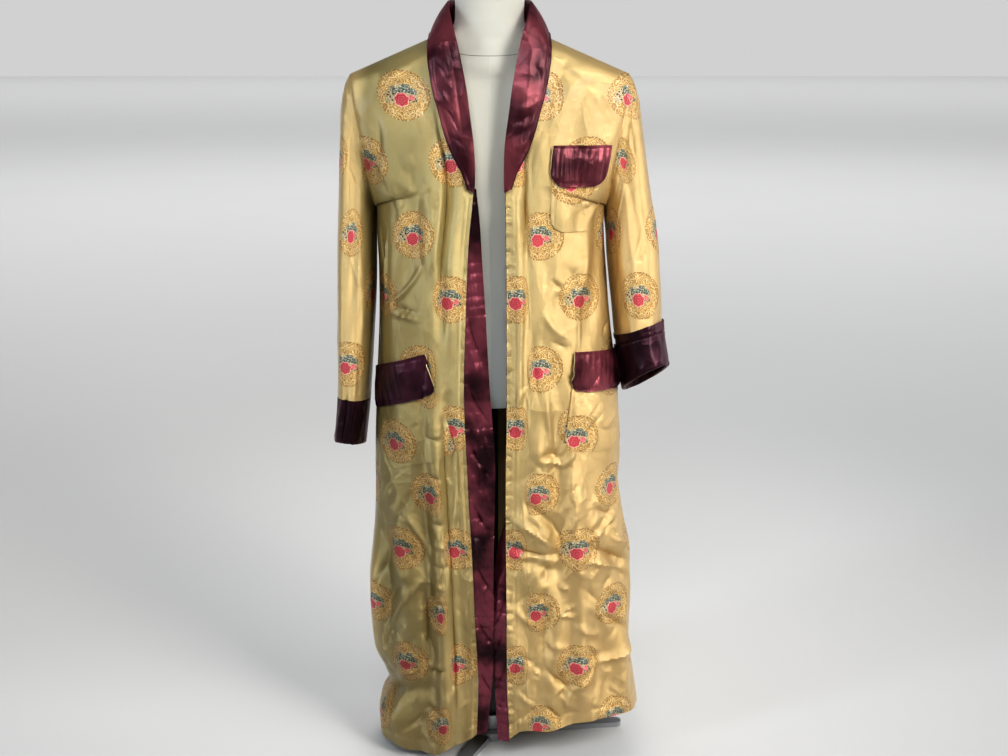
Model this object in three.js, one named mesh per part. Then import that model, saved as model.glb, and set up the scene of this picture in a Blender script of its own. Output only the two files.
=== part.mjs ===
// A long brocade robe with a satin shawl collar, worn open on a limbless dress form and its stand.
// Millimetres. +Z is up, the robe faces -Y, and right and left are the wearer's: right is -X.
// The origin is on the floor, under the middle of the pole.

import * as THREE from 'three';
import { mergeVertices } from 'three/addons/utils/BufferGeometryUtils.js';

// ---- driving sizes -------------------------------------------------------------------------

const clothWall = 1.6; // brocade with its facing or lining
const trimWall = 1.4; // satin trim and patch pockets
const seamGap = 0.3; // clearance between two pieces at a seam
const layGap = 1.2; // clearance under a piece that lies on a curved panel
const topGap = 0.25; // clearance of a gathered pocket top over its patch

const neckX = 68; // neck point of the shoulder seam
const neckZ = 1380;
const shoulderX = 244; // shoulder tip
const shoulderZ = 1305;
const underarmX = 203;
const underarmZ = 1070;
const armholeDepth = 58; // half the armhole, front to back
const armholeRound = 0.7; // 1 is an ellipse; less is squarer
const backNeckY = 68;

const skirtRows = 22; // rows of a body panel under the arm
const yokeRows = 9; // rows beside the armhole
const frontColumns = 18;
const backColumns = 22;

const formBottomZ = 712;
const neckTopZ = 1462;
const poleRadius = 14;
const baseReach = 267; // from the pole to the end of a foot
const footHeight = 10;

// ---- small helpers --------------------------------------------------------------------------

const { clamp, lerp, smoothstep, degToRad } = THREE.MathUtils;

// Reads a table at a value of one of its columns, with a smooth curve through its rows.
function sample(table, column, at) {
  const last = table.length - 1;
  const value = clamp(at, table[0][column], table[last][column]);
  let k = 0;
  while (k < last - 1 && table[k + 1][column] < value) k += 1;
  const span = table[k + 1][column] - table[k][column];
  const t = (value - table[k][column]) / span;
  const before = table[Math.max(k - 1, 0)];
  const after = table[Math.min(k + 2, last)];
  const row = {};
  for (const name of Object.keys(table[k])) {
    const from = table[k][name];
    const to = table[k + 1][name];
    const slopeIn = ((to - before[name]) / (table[k + 1][column] - before[column])) * span;
    const slopeOut = ((after[name] - from) / (after[column] - table[k][column])) * span;
    const t2 = t * t;
    const t3 = t2 * t;
    row[name] =
      from * (2 * t3 - 3 * t2 + 1) +
      slopeIn * (t3 - 2 * t2 + t) +
      to * (3 * t2 - 2 * t3) +
      slopeOut * (t3 - t2);
  }
  return row;
}

// A rounded quarter from 0 to 1: fast at first, then level.
const rounded = (t) => Math.sqrt(Math.max(0, 1 - (1 - clamp(t, 0, 1)) ** 2));

// Normals of a grid of points; a closed grid joins its last column to its first.
function gridNormals(grid, closed) {
  const rows = grid.length;
  const columns = grid[0].length;
  return grid.map((row, i) =>
    row.map((point, j) => {
      const left = closed ? (j + columns - 1) % columns : Math.max(j - 1, 0);
      const right = closed ? (j + 1) % columns : Math.min(j + 1, columns - 1);
      const across = row[right].clone().sub(row[left]);
      const up = grid[Math.min(i + 1, rows - 1)][j].clone().sub(grid[Math.max(i - 1, 0)][j]);
      return across.cross(up).normalize();
    }),
  );
}

// Makes one closed wall from a grid of points on its inner face and the way out at each point.
// The grid's rows run so that across x up points out.
function wallBetween(inner, outer, closed) {
  const rows = inner.length;
  const columns = inner[0].length;
  const at = (layer, i, j) => (layer * rows + i) * columns + (j % columns);
  const position = [...inner.flat(), ...outer.flat()].flatMap((point) => point.toArray());
  const index = [];
  const quad = (a, b, c, d) => index.push(a, b, c, a, c, d);
  const spans = closed ? columns : columns - 1;
  for (let i = 0; i < rows - 1; i += 1) {
    for (let j = 0; j < spans; j += 1) {
      quad(at(1, i, j), at(1, i, j + 1), at(1, i + 1, j + 1), at(1, i + 1, j));
      quad(at(0, i, j), at(0, i + 1, j), at(0, i + 1, j + 1), at(0, i, j + 1));
    }
    if (!closed) {
      quad(at(0, i, 0), at(1, i, 0), at(1, i + 1, 0), at(0, i + 1, 0));
      quad(at(1, i, spans), at(0, i, spans), at(0, i + 1, spans), at(1, i + 1, spans));
    }
  }
  for (let j = 0; j < spans; j += 1) {
    quad(at(0, 0, j), at(0, 0, j + 1), at(1, 0, j + 1), at(1, 0, j));
    const top = rows - 1;
    quad(at(1, top, j), at(1, top, j + 1), at(0, top, j + 1), at(0, top, j));
  }
  const geometry = new THREE.BufferGeometry();
  geometry.setAttribute('position', new THREE.Float32BufferAttribute(position, 3));
  geometry.setIndex(index);
  return geometry;
}

// A wall of even thickness outside a grid. fixNormal may turn the way out at a seam.
function wall(grid, thickness, { closed = false, fixNormal = () => {} } = {}) {
  const normals = gridNormals(grid, closed);
  normals.forEach((row, i) => row.forEach((normal, j) => fixNormal(normal, i, j)));
  const outer = grid.map((row, i) =>
    row.map((point, j) => point.clone().addScaledVector(normals[i][j], thickness)),
  );
  return wallBetween(grid, outer, closed);
}

// Grid of points from a function of two counters.
const gridOf = (rows, columns, pointAt) =>
  Array.from({ length: rows + 1 }, (unusedRow, i) =>
    Array.from({ length: columns + 1 }, (unusedColumn, j) => pointAt(j / columns, i / rows)),
  );

// ---- the body of the robe -------------------------------------------------------------------

// Where the front edges run: x, and y before the shoulder rounds it back.
const frontEdge = {
  right: [
    { z: 40, x: -29, y: -120 },
    { z: 180, x: -25, y: -121 },
    { z: 310, x: -30, y: -121 },
    { z: 430, x: -34, y: -121 },
    { z: 550, x: -40, y: -121 },
    { z: 740, x: -47, y: -120 },
    { z: 830, x: -45, y: -119 },
    { z: 1010, x: -37.5, y: -118 },
    { z: 1112, x: -28, y: -117 },
    { z: 1175, x: -28, y: -112 },
    { z: 1226, x: -34, y: -104 },
    { z: 1287, x: -43, y: -89 },
    { z: 1344, x: -58, y: -71 },
    { z: neckZ, x: -neckX, y: -60 },
  ],
  left: [
    { z: 40, x: 36, y: -120 },
    { z: 180, x: 31, y: -121 },
    { z: 310, x: 30, y: -121 },
    { z: 550, x: 28, y: -121 },
    { z: 740, x: 30, y: -120 },
    { z: 1010, x: 29, y: -118 },
    { z: 1112, x: 28, y: -117 },
    { z: 1175, x: 28, y: -112 },
    { z: 1226, x: 34, y: -104 },
    { z: 1287, x: 43, y: -89 },
    { z: 1344, x: 57, y: -71 },
    { z: neckZ, x: neckX, y: -60 },
  ],
};

// How far the side seams stand out under the arms. The right skirt pinches in above its hem.
const sideSeam = {
  right: [
    { z: 20, out: 222 },
    { z: 55, out: 227 },
    { z: 90, out: 220 },
    { z: 128, out: 200 },
    { z: 170, out: 211 },
    { z: 215, out: 229 },
    { z: 345, out: 236 },
    { z: 460, out: 225 },
    { z: 620, out: 217 },
    { z: 775, out: 209 },
    { z: 900, out: 204 },
    { z: underarmZ, out: underarmX },
  ],
  left: [
    { z: 60, out: 292 },
    { z: 95, out: 290 },
    { z: 190, out: 274 },
    { z: 387, out: 269 },
    { z: 465, out: 257 },
    { z: 545, out: 242 },
    { z: 620, out: 243 },
    { z: 775, out: 229 },
    { z: 900, out: 216 },
    { z: 1000, out: 205 },
    { z: underarmZ, out: underarmX },
  ],
};

// Hem heights across each panel, by share of its width from the front edge or the middle back.
const hem = {
  right: [
    { share: 0, z: 63 },
    { share: 0.08, z: 49 },
    { share: 0.2, z: 33 },
    { share: 0.32, z: 21 },
    { share: 0.5, z: 18 },
    { share: 0.66, z: 25 },
    { share: 1, z: 30 },
  ],
  left: [
    { share: 0, z: 56 },
    { share: 0.08, z: 71 },
    { share: 0.24, z: 70 },
    { share: 0.36, z: 81 },
    { share: 0.6, z: 87 },
    { share: 1, z: 76 },
  ],
};
const backHemZ = 46;

// How deep the back hangs, before the shoulders round it forward.
const backDepth = [
  { z: 20, y: 128 },
  { z: 300, y: 124 },
  { z: 700, y: 117 },
  { z: 1000, y: 113 },
  { z: 1150, y: 116 },
  { z: 1260, y: 110 },
  { z: neckZ, y: 96 },
];

// Folds of the cloth. across is the distance from the front edge, or from the middle back to the
// wearer's left; each runs from one end to the other, and rises from the panel or sinks in.
const folds = {
  right: [
    { across1: 22, z1: 1190, across2: 30, z2: 790, width: 11, rise: 6 },
    { across1: 46, z1: 1235, across2: 44, z2: 800, width: 10, rise: -7 },
    { across1: 34, z1: 800, across2: 22, z2: 40, width: 16, rise: -7 },
    { across1: 52, z1: 780, across2: 66, z2: 20, width: 13, rise: 12 },
    { across1: 84, z1: 620, across2: 92, z2: 90, width: 14, rise: -7 },
    { across1: 96, z1: 1170, across2: 118, z2: 870, width: 20, rise: -6 },
    { across1: 130, z1: 600, across2: 128, z2: 230, width: 18, rise: 8 },
    { across1: 165, z1: 560, across2: 172, z2: 120, width: 16, rise: -7 },
    { across1: 150, z1: 75, across2: 215, z2: 95, width: 26, rise: 11 },
    { across1: 60, z1: 165, across2: 215, z2: 128, width: 16, rise: -9 },
    { across1: 205, z1: 480, across2: 208, z2: 240, width: 15, rise: 6 },
    { across1: 190, z1: 1010, across2: 175, z2: 860, width: 18, rise: -5 },
  ],
  left: [
    { across1: 20, z1: 1130, across2: 22, z2: 640, width: 11, rise: 5 },
    { across1: 38, z1: 1245, across2: 36, z2: 900, width: 10, rise: -6 },
    { across1: 56, z1: 830, across2: 60, z2: 470, width: 18, rise: 6 },
    { across1: 92, z1: 760, across2: 98, z2: 330, width: 15, rise: -7 },
    { across1: 128, z1: 640, across2: 146, z2: 80, width: 16, rise: 11 },
    { across1: 14, z1: 440, across2: 112, z2: 395, width: 12, rise: -6 },
    { across1: 18, z1: 520, across2: 82, z2: 425, width: 11, rise: 5 },
    { across1: 176, z1: 440, across2: 262, z2: 352, width: 14, rise: -8 },
    { across1: 40, z1: 330, across2: 58, z2: 80, width: 14, rise: -7 },
    { across1: 84, z1: 300, across2: 90, z2: 90, width: 15, rise: 8 },
    { across1: 186, z1: 300, across2: 198, z2: 90, width: 16, rise: -7 },
    { across1: 226, z1: 320, across2: 238, z2: 80, width: 17, rise: 9 },
    { across1: 176, z1: 1010, across2: 150, z2: 860, width: 18, rise: -5 },
  ],
  back: [
    { across1: -112, z1: 1230, across2: -76, z2: 960, width: 20, rise: -6 },
    { across1: 108, z1: 1225, across2: 70, z2: 980, width: 18, rise: -6 },
    { across1: -34, z1: 1120, across2: -42, z2: 60, width: 24, rise: 9 },
    { across1: 4, z1: 900, across2: 12, z2: 60, width: 19, rise: -9 },
    { across1: 52, z1: 1010, across2: 64, z2: 60, width: 20, rise: 10 },
    { across1: -96, z1: 820, across2: -112, z2: 50, width: 20, rise: -9 },
    { across1: -158, z1: 760, across2: -168, z2: 60, width: 21, rise: 8 },
    { across1: 118, z1: 740, across2: 130, z2: 60, width: 20, rise: -10 },
    { across1: 178, z1: 690, across2: 200, z2: 80, width: 22, rise: 9 },
    { across1: -218, z1: 520, across2: -222, z2: 90, width: 18, rise: -6 },
    { across1: 234, z1: 560, across2: 252, z2: 90, width: 18, rise: -6 },
  ],
};

// How far all folds move the cloth out at a place on a panel.
function foldRise(list, across, z) {
  let rise = 0;
  for (const fold of list) {
    const runX = fold.across2 - fold.across1;
    const runZ = fold.z2 - fold.z1;
    const length = Math.hypot(runX, runZ);
    const along = ((across - fold.across1) * runX + (z - fold.z1) * runZ) / length;
    const away = ((across - fold.across1) * runZ - (z - fold.z1) * runX) / length;
    const fade = Math.min(120, length * 0.45);
    const ends = smoothstep(along, -20, fade) * smoothstep(length - along, -20, fade);
    rise += fold.rise * ends * Math.exp(-((away / fold.width) ** 2));
  }
  return rise;
}

// Folds die out towards the seams, so that neighbours meet there.
const seamFade = (distance) => smoothstep(distance, 2, 34);

// Cloth across a row: points on a curve, re-spaced evenly along its length.
const rowSteps = 48;
function evenRow(curve) {
  const points = Array.from({ length: rowSteps + 1 }, (unused, k) => curve(k / rowSteps));
  const reached = [0];
  for (let k = 1; k <= rowSteps; k += 1) {
    reached.push(reached[k - 1] + Math.hypot(points[k].x - points[k - 1].x, points[k].y - points[k - 1].y));
  }
  const length = reached[rowSteps];
  const at = (share) => {
    const goal = clamp(share, 0, 1) * length;
    let k = 0;
    while (k < rowSteps - 1 && reached[k + 1] < goal) k += 1;
    const t = (goal - reached[k]) / (reached[k + 1] - reached[k] || 1);
    return { x: lerp(points[k].x, points[k + 1].x, t), y: lerp(points[k].y, points[k + 1].y, t) };
  };
  return { length, at };
}

// The armhole, half of it for the front and half for the back, by height.
function armhole(z) {
  const share = clamp((z - underarmZ) / (shoulderZ - underarmZ), 0, 1);
  return {
    out: lerp(underarmX, shoulderX, share),
    depth: armholeDepth * (2 * Math.sqrt(share * (1 - share))) ** armholeRound,
  };
}

// The edge of a body panel at the side: the side seam, then the armhole.
function sideAt(side, z) {
  if (z <= underarmZ) return { out: sample(sideSeam[side], 'z', z).out, depth: 0 };
  return armhole(z);
}

const signOf = { right: -1, left: 1 };
const roundness = 0.76; // 1 is an ellipse; less is squarer at the corner
const shoulderDrop = 150; // height over which the shoulder rounds the front edge back
const backDrop = 120;

// One row of a front panel, at a share of its height.
const frontRows = new Map();
function frontRow(side, height) {
  const key = `${side} ${height.toFixed(6)}`;
  if (frontRows.has(key)) return frontRows.get(key);
  const hemTable = hem[side];
  const edgeZ = lerp(hemTable[0].z, neckZ, height);
  const seamZ = lerp(hemTable[hemTable.length - 1].z, shoulderZ, height);
  const edge = sample(frontEdge[side], 'z', edgeZ);
  const tuck = clamp((edgeZ - (neckZ - shoulderDrop)) / shoulderDrop, 0, 1) ** 3.4;
  const edgeY = edge.y * Math.sqrt(1 - tuck * tuck);
  const seam = sideAt(side, seamZ);
  const seamX = signOf[side] * seam.out;
  const row = evenRow((t) => {
    const turn = (t * Math.PI) / 2;
    return {
      x: lerp(edge.x, seamX, Math.sin(turn) ** roundness),
      y: lerp(-seam.depth, edgeY, Math.abs(Math.cos(turn)) ** roundness),
    };
  });
  frontRows.set(key, row);
  return row;
}

// A point of a front panel's inner face, by share of width from the edge and share of height.
function frontPoint(side, share, height) {
  const row = frontRow(side, height);
  const place = row.at(share);
  const z = lerp(sample(hem[side], 'share', share).z, lerp(neckZ, shoulderZ, share), height);
  const across = share * row.length;
  const calm = seamFade(row.length - across) * smoothstep(neckZ + 20 - z, 40, 160);
  const rise = foldRise(folds[side], across, z) * calm;
  const edge = row.at(Math.max(share - 0.02, 0));
  const next = row.at(Math.min(share + 0.02, 1));
  const out = new THREE.Vector2(next.y - edge.y, edge.x - next.x);
  out.normalize().multiplyScalar(rise * signOf[side]);
  const seamSide = -seamGap / 2; // half the gap at the side and shoulder seams
  return new THREE.Vector3(place.x + out.x, Math.min(place.y + out.y, 0) + seamSide, z);
}

// One row of the back, from the middle to a side, at a share of its height.
const backRows = new Map();
function backRow(side, height) {
  const key = `${side} ${height.toFixed(6)}`;
  if (backRows.has(key)) return backRows.get(key);
  const middleZ = lerp(backHemZ, neckZ, height);
  const hemTable = hem[side];
  const seamZ = lerp(hemTable[hemTable.length - 1].z, shoulderZ, height);
  const seam = sideAt(side, seamZ);
  const full = sample(backDepth, 'z', middleZ).y;
  const depth = full * rounded((neckZ - middleZ) / backDrop);
  const row = evenRow((t) => {
    const turn = (t * Math.PI) / 2;
    const out = seam.out * Math.sin(turn) ** roundness;
    const hang = lerp(seam.depth, depth, Math.abs(Math.cos(turn)) ** roundness);
    const aroundNeck = backNeckY * Math.sqrt(Math.max(0, 1 - (out / neckX) ** 2));
    return { x: out, y: (hang ** 4 + aroundNeck ** 4) ** 0.25 };
  });
  backRows.set(key, row);
  return row;
}

// A point of the back's inner face; share runs from -1 at the right seam to 1 at the left.
function backPoint(share, height) {
  const side = share < 0 ? 'right' : 'left';
  const part = Math.abs(share);
  const row = backRow(side, height);
  const place = row.at(part);
  const hemTable = hem[side];
  const hemZ = lerp(backHemZ, hemTable[hemTable.length - 1].z, smoothstep(part, 0, 1));
  const shoulder = neckZ - (Math.max(0, place.x - neckX) / (shoulderX - neckX)) * (neckZ - shoulderZ);
  const topZ = shoulder - 4 * Math.max(0, 1 - (place.x / neckX) ** 2);
  const lowTop = lerp(neckZ, shoulderZ, part);
  const z = lerp(hemZ, lerp(lowTop, topZ, smoothstep(height, 0.7, 1)), height);
  const across = part * row.length;
  const calm = seamFade(row.length - across) * smoothstep(neckZ - z, 40, 160);
  const rise = foldRise(folds.back, across * signOf[side], z) * calm;
  const inner = row.at(Math.max(part - 0.02, 0));
  const next = row.at(Math.min(part + 0.02, 1));
  const out = new THREE.Vector2(inner.y - next.y, next.x - inner.x).normalize().multiplyScalar(rise);
  return new THREE.Vector3(
    signOf[side] * (place.x + out.x),
    Math.max(place.y + out.y, 0) + seamGap / 2,
    z,
  );
}

// Heights of the rows of a body panel, closer together at the hem and at the shoulder.
const underarmShare = {
  right: (underarmZ - hem.right.at(-1).z) / (shoulderZ - hem.right.at(-1).z),
  left: (underarmZ - hem.left.at(-1).z) / (shoulderZ - hem.left.at(-1).z),
};
function rowHeight(side, i) {
  const split = underarmShare[side];
  if (i <= skirtRows) return split * (i / skirtRows) ** 1.15;
  return 1 - (1 - split) * ((skirtRows + yokeRows - i) / yokeRows) ** 1.6;
}

// At the side and shoulder seams the wall stands straight out; beside the armhole it leans
// sideways only as far as the sleeve leaves room.
function bodySeamNormal(normal, i, atSide, sideSign, frontSign) {
  const top = skirtRows + yokeRows;
  if (atSide && i >= skirtRows && i < top) {
    const share = (rowZAtSide(sideSign, i) - underarmZ) / (shoulderZ - underarmZ);
    const lean = Math.cos((share * Math.PI) / 2) ** 2;
    const rest = new THREE.Vector2(frontSign * Math.abs(normal.y) * share ** 0.3, normal.z);
    rest.normalize().multiplyScalar(Math.sqrt(1 - lean * lean));
    normal.set(sideSign * lean, i === skirtRows ? 0 : rest.x, i === skirtRows ? 0 : rest.y);
    if (i === skirtRows) normal.set(sideSign, 0, 0);
  } else if (i === top && atSide) {
    normal.set(0, 0, 1);
  } else if (i === top || atSide) {
    normal.setY(0).normalize();
  }
}
function rowZAtSide(sideSign, i) {
  const side = sideSign < 0 ? 'right' : 'left';
  const hemTable = hem[side];
  return lerp(hemTable[hemTable.length - 1].z, shoulderZ, rowHeight(side, i));
}

function frontPanel(side) {
  const sign = signOf[side];
  const rows = skirtRows + yokeRows;
  const grid = Array.from({ length: rows + 1 }, (unusedRow, i) => {
    const row = Array.from({ length: frontColumns + 1 }, (unused, j) =>
      frontPoint(side, j / frontColumns, rowHeight(side, i)),
    );
    return sign > 0 ? row : row.reverse();
  });
  const sideColumn = sign > 0 ? frontColumns : 0;
  return wall(grid, clothWall, {
    fixNormal: (normal, i, j) => bodySeamNormal(normal, i, j === sideColumn, sign, -1),
  });
}

const neckColumn = 2; // the back's columns are spread so that this one meets the neck point
function backColumnShare(k) {
  const half = backColumns / 2;
  const spread = Math.log(neckShareOfTop()) / Math.log(neckColumn / half);
  return Math.sign(k) * (Math.abs(k) / half) ** spread;
}
// Share of the back's top row, half of it, that goes round the neck.
function neckShareOfTop() {
  const row = backRow('left', 1);
  let share = 0;
  while (row.at(share).x < neckX - 0.02) share += 0.0005;
  return share;
}

function backPanel() {
  const rows = skirtRows + yokeRows;
  const half = backColumns / 2;
  const grid = Array.from({ length: rows + 1 }, (unusedRow, i) =>
    Array.from({ length: backColumns + 1 }, (unused, j) => {
      const k = half - j;
      const side = k < 0 ? 'right' : 'left';
      return backPoint(backColumnShare(k), rowHeight(side, i));
    }),
  );
  return wall(grid, clothWall, {
    fixNormal: (normal, i, j) =>
      bodySeamNormal(normal, i, j === 0 || j === backColumns, j < half ? 1 : -1, 1),
  });
}

// ---- sleeves and cuffs ----------------------------------------------------------------------

// Rings of each sleeve: its outer and inner ends, half depth, middle, and how far the front of
// the ring is lifted over its back. The first ring is the armhole.
const sleeveRings = {
  right: [
    { ring: 0, outerX: 244, outerZ: 1305, innerX: 203, innerZ: 1070, depth: 58, y: 0, lift: 0 },
    { ring: 1, outerX: 255, outerZ: 1284, innerX: 207.4, innerZ: 1062, depth: 59, y: 0, lift: 0 },
    { ring: 2, outerX: 263, outerZ: 1248, innerX: 208.2, innerZ: 1046, depth: 61, y: 0, lift: 0 },
    { ring: 3, outerX: 267, outerZ: 1180, innerX: 209, innerZ: 1016, depth: 65, y: -2, lift: 0 },
    { ring: 4, outerX: 271, outerZ: 1090, innerX: 210, innerZ: 972, depth: 69, y: -5, lift: 0 },
    { ring: 5, outerX: 277, outerZ: 980, innerX: 212.5, innerZ: 912, depth: 73, y: -8, lift: 0 },
    { ring: 6, outerX: 281, outerZ: 850, innerX: 219, innerZ: 828, depth: 76, y: -10, lift: 0 },
    { ring: 7, outerX: 284, outerZ: 712, innerX: 229, innerZ: 708, depth: 77, y: -12, lift: 0 },
    { ring: 8, outerX: 295, outerZ: 622, innerX: 241, innerZ: 618, depth: 80, y: -14, lift: 0 },
  ],
  left: [
    { ring: 0, outerX: 244, outerZ: 1305, innerX: 203, innerZ: 1070, depth: 58, y: 0, lift: 0 },
    { ring: 1, outerX: 255, outerZ: 1286, innerX: 207.4, innerZ: 1062, depth: 59, y: 0, lift: 0 },
    { ring: 2, outerX: 264, outerZ: 1250, innerX: 209.4, innerZ: 1046, depth: 61, y: 0, lift: 0 },
    { ring: 3, outerX: 274, outerZ: 1190, innerX: 212.5, innerZ: 1018, depth: 64, y: -2, lift: 0 },
    { ring: 4, outerX: 287, outerZ: 1105, innerX: 215, innerZ: 978, depth: 67, y: -6, lift: 0 },
    { ring: 5, outerX: 302, outerZ: 1020, innerX: 220, innerZ: 934, depth: 70, y: -11, lift: 2 },
    { ring: 6, outerX: 310, outerZ: 935, innerX: 226, innerZ: 884, depth: 73, y: -16, lift: 6 },
    { ring: 7, outerX: 313, outerZ: 862, innerX: 232, innerZ: 834, depth: 76, y: -22, lift: 14 },
    { ring: 8, outerX: 326, outerZ: 782, innerX: 248, innerZ: 742, depth: 80, y: -36, lift: 34 },
  ],
};
const cuffRing = 7; // where the cuff is sewn to the sleeve
const endRing = 8;
const sleeveColumns = 16;

// Soft folds along a sleeve: angle round it, from its outer side towards the front.
const sleeveFolds = {
  right: [
    { angle: 52, ring1: 0.6, ring2: 8.4, width: 15, rise: 5 },
    { angle: 88, ring1: 1.2, ring2: 6.4, width: 14, rise: -5 },
    { angle: 128, ring1: 2.5, ring2: 8.4, width: 14, rise: 4 },
    { angle: 230, ring1: 1.4, ring2: 7, width: 18, rise: -5 },
    { angle: 292, ring1: 2, ring2: 8.4, width: 18, rise: 5 },
  ],
  left: [
    { angle: 44, ring1: 1, ring2: 6.8, width: 15, rise: 5 },
    { angle: 80, ring1: 0.8, ring2: 5.6, width: 15, rise: -5 },
    { angle: 118, ring1: 3, ring2: 7.6, width: 15, rise: 4 },
    { angle: 236, ring1: 1.4, ring2: 6.8, width: 18, rise: -5 },
    { angle: 300, ring1: 2.4, ring2: 7.6, width: 18, rise: 5 },
  ],
};

function sleevePoint(side, ring, angle) {
  const row = sample(sleeveRings[side], 'ring', ring);
  const cos = Math.cos(angle);
  const sin = Math.sin(angle);
  const front = Math.sign(sin) * Math.abs(sin) ** lerp(armholeRound, 0.9, clamp(ring / 3, 0, 1));
  let swell = 0;
  for (const fold of sleeveFolds[side]) {
    const away = ((THREE.MathUtils.radToDeg(angle) - fold.angle + 540) % 360) - 180;
    const ends = smoothstep(ring, fold.ring1, fold.ring1 + 1.6) * smoothstep(fold.ring2 - ring, 0, 1);
    swell += fold.rise * ends * Math.exp(-((away / fold.width) ** 2));
  }
  const x = (row.outerX + row.innerX) / 2 + ((row.outerX - row.innerX) / 2) * cos;
  const z = (row.outerZ + row.innerZ) / 2 + ((row.outerZ - row.innerZ) / 2) * cos;
  const toSleeve = 1 - smoothstep(ring, 0, 0.9);
  const share = (cos + 1) / 2;
  const room = seamGap + clothWall * Math.cos((share * Math.PI) / 2) ** 2 + 0.1;
  return new THREE.Vector3(
    signOf[side] * (x + swell * Math.max(cos, -0.2) * 0.6 + room * toSleeve),
    row.y - (row.depth + swell * Math.abs(sin)) * front,
    z + row.lift * front,
  );
}

function sleeveWall(side, from, to, rings, thickness) {
  const sign = signOf[side];
  const grid = Array.from({ length: rings + 1 }, (unusedRow, i) => {
    const ring = lerp(to, from, i / rings);
    return Array.from({ length: sleeveColumns }, (unused, j) =>
      sleevePoint(side, ring, (sign * -j * 2 * Math.PI) / sleeveColumns + Math.PI * 4),
    );
  });
  return wall(grid, thickness, {
    closed: true,
    fixNormal: (normal, i) => {
      if (i === rings && from === 0) normal.setX(0).normalize();
    },
  });
}

// ---- collar ---------------------------------------------------------------------------------

// Share of a front panel's height at which it has a height in millimetres.
function heightAt(side, share, z) {
  const hemZ = sample(hem[side], 'share', share).z;
  return (z - hemZ) / (lerp(neckZ, shoulderZ, share) - hemZ);
}

// A point over a front panel's outer face.
function overFront(side, share, height, lift) {
  const step = 0.012;
  const point = frontPoint(side, share, height);
  const across = frontPoint(side, Math.min(share + step, 1), height).sub(
    frontPoint(side, Math.max(share - step, 0), height),
  );
  const up = frontPoint(side, share, Math.min(height + step, 1)).sub(
    frontPoint(side, share, Math.max(height - step, 0)),
  );
  const out = across.cross(up).normalize().multiplyScalar(signOf[side]);
  return point.addScaledVector(out, clothWall + lift);
}

// The collar from the break of one lapel to the middle back. stand is how high it stands over the
// neck seam, along the direction (outY, outZ); edge is where its outer edge lies.
const collarStations = [
  { station: 0, seamZ: 1110, stand: 3, lean: 0, edgeX: 37, edgeY: -124, edgeZ: 1116 },
  { station: 1, seamZ: 1142, stand: 5, lean: 0, edgeX: 46, edgeY: -123, edgeZ: 1143 },
  { station: 2, seamZ: 1185, stand: 7, lean: 4, edgeX: 68, edgeY: -118, edgeZ: 1186 },
  { station: 3, seamZ: 1240, stand: 9, lean: 12, edgeX: 86, edgeY: -106, edgeZ: 1246 },
  { station: 4, seamZ: 1290, stand: 13, lean: 28, edgeX: 98, edgeY: -93, edgeZ: 1292 },
  { station: 5, seamZ: 1336, stand: 22, lean: 50, edgeX: 104, edgeY: -77, edgeZ: 1333 },
  { station: 6, seamZ: 1367, stand: 36, lean: 74, edgeX: 105, edgeY: -42, edgeZ: 1362 },
  { station: 7, seamZ: neckZ, stand: 46, lean: 88, edgeX: 101, edgeY: 12, edgeZ: 1374 },
];
// The rest of the way round the back neck, by angle from the neck point.
const collarBack = [
  { station: 8, angle: 30, stand: 48, edgeX: 88, edgeY: 53, edgeZ: 1373 },
  { station: 9, angle: 60, stand: 48, edgeX: 52, edgeY: 87, edgeZ: 1368 },
  { station: 10, angle: 90, stand: 48, edgeX: 0, edgeY: 101, edgeZ: 1364 },
];
const collarSteps = 32;
const collarColumns = 7;
const standColumns = 2;

// The station's seam, roll and edge points for one side.
function collarStation(side, k) {
  const sign = signOf[side];
  const front = collarStations[k];
  if (front) {
    const height = heightAt(side, 0, front.seamZ);
    const lean = degToRad(front.lean);
    const out = new THREE.Vector3(0, -Math.cos(lean), Math.sin(lean));
    const seam = frontPoint(side, 0, Math.min(height, 1)).addScaledVector(out, clothWall + seamGap + 0.1);
    const roll = seam.clone().addScaledVector(out, front.stand);
    roll.x -= sign * (front.lean < 60 ? 1.5 : -3);
    const edge = new THREE.Vector3(sign * front.edgeX, front.edgeY, front.edgeZ);
    return { seam, roll, edge };
  }
  const back = collarBack[k - collarStations.length];
  const angle = degToRad(back.angle);
  const seam = new THREE.Vector3(
    sign * neckX * Math.cos(angle),
    (backNeckY + 0.3) * Math.sin(angle),
    neckZ - 4 * Math.sin(angle) ** 2 + clothWall + seamGap + 0.5,
  );
  const roll = seam.clone();
  roll.z += back.stand;
  roll.y += 1.5 * Math.sin(angle);
  return { seam, roll, edge: new THREE.Vector3(sign * back.edgeX, back.edgeY, back.edgeZ) };
}

function collarGrid() {
  const stations = [];
  const count = collarStations.length + collarBack.length;
  for (let k = 0; k < count; k += 1) stations.push(collarStation('right', k));
  for (let k = count - 2; k >= 0; k -= 1) stations.push(collarStation('left', k));
  const [seam, roll, edge] = ['seam', 'roll', 'edge'].map(
    (line) => new THREE.CatmullRomCurve3(stations.map((station) => station[line])),
  );
  return Array.from({ length: collarColumns + 1 }, (unusedRow, j) =>
    Array.from({ length: collarSteps + 1 }, (unused, i) => {
      const t = i / collarSteps;
      const a = seam.getPoint(t);
      const b = roll.getPoint(t);
      const c = edge.getPoint(t);
      if (j <= standColumns) return a.lerp(b, j / standColumns);
      const fall = (j - standColumns) / (collarColumns - standColumns);
      const wide = b.distanceTo(c);
      const outward = new THREE.Vector3(b.x * 0.3 + c.x * 0.2, (b.y + c.y) / 2, 0).normalize();
      const belly = 4 * fall * (1 - fall) * Math.min(wide * 0.07, 4.5);
      return b.lerp(c, fall).addScaledVector(outward, belly);
    }),
  );
}

// ---- front bands ----------------------------------------------------------------------------

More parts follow.
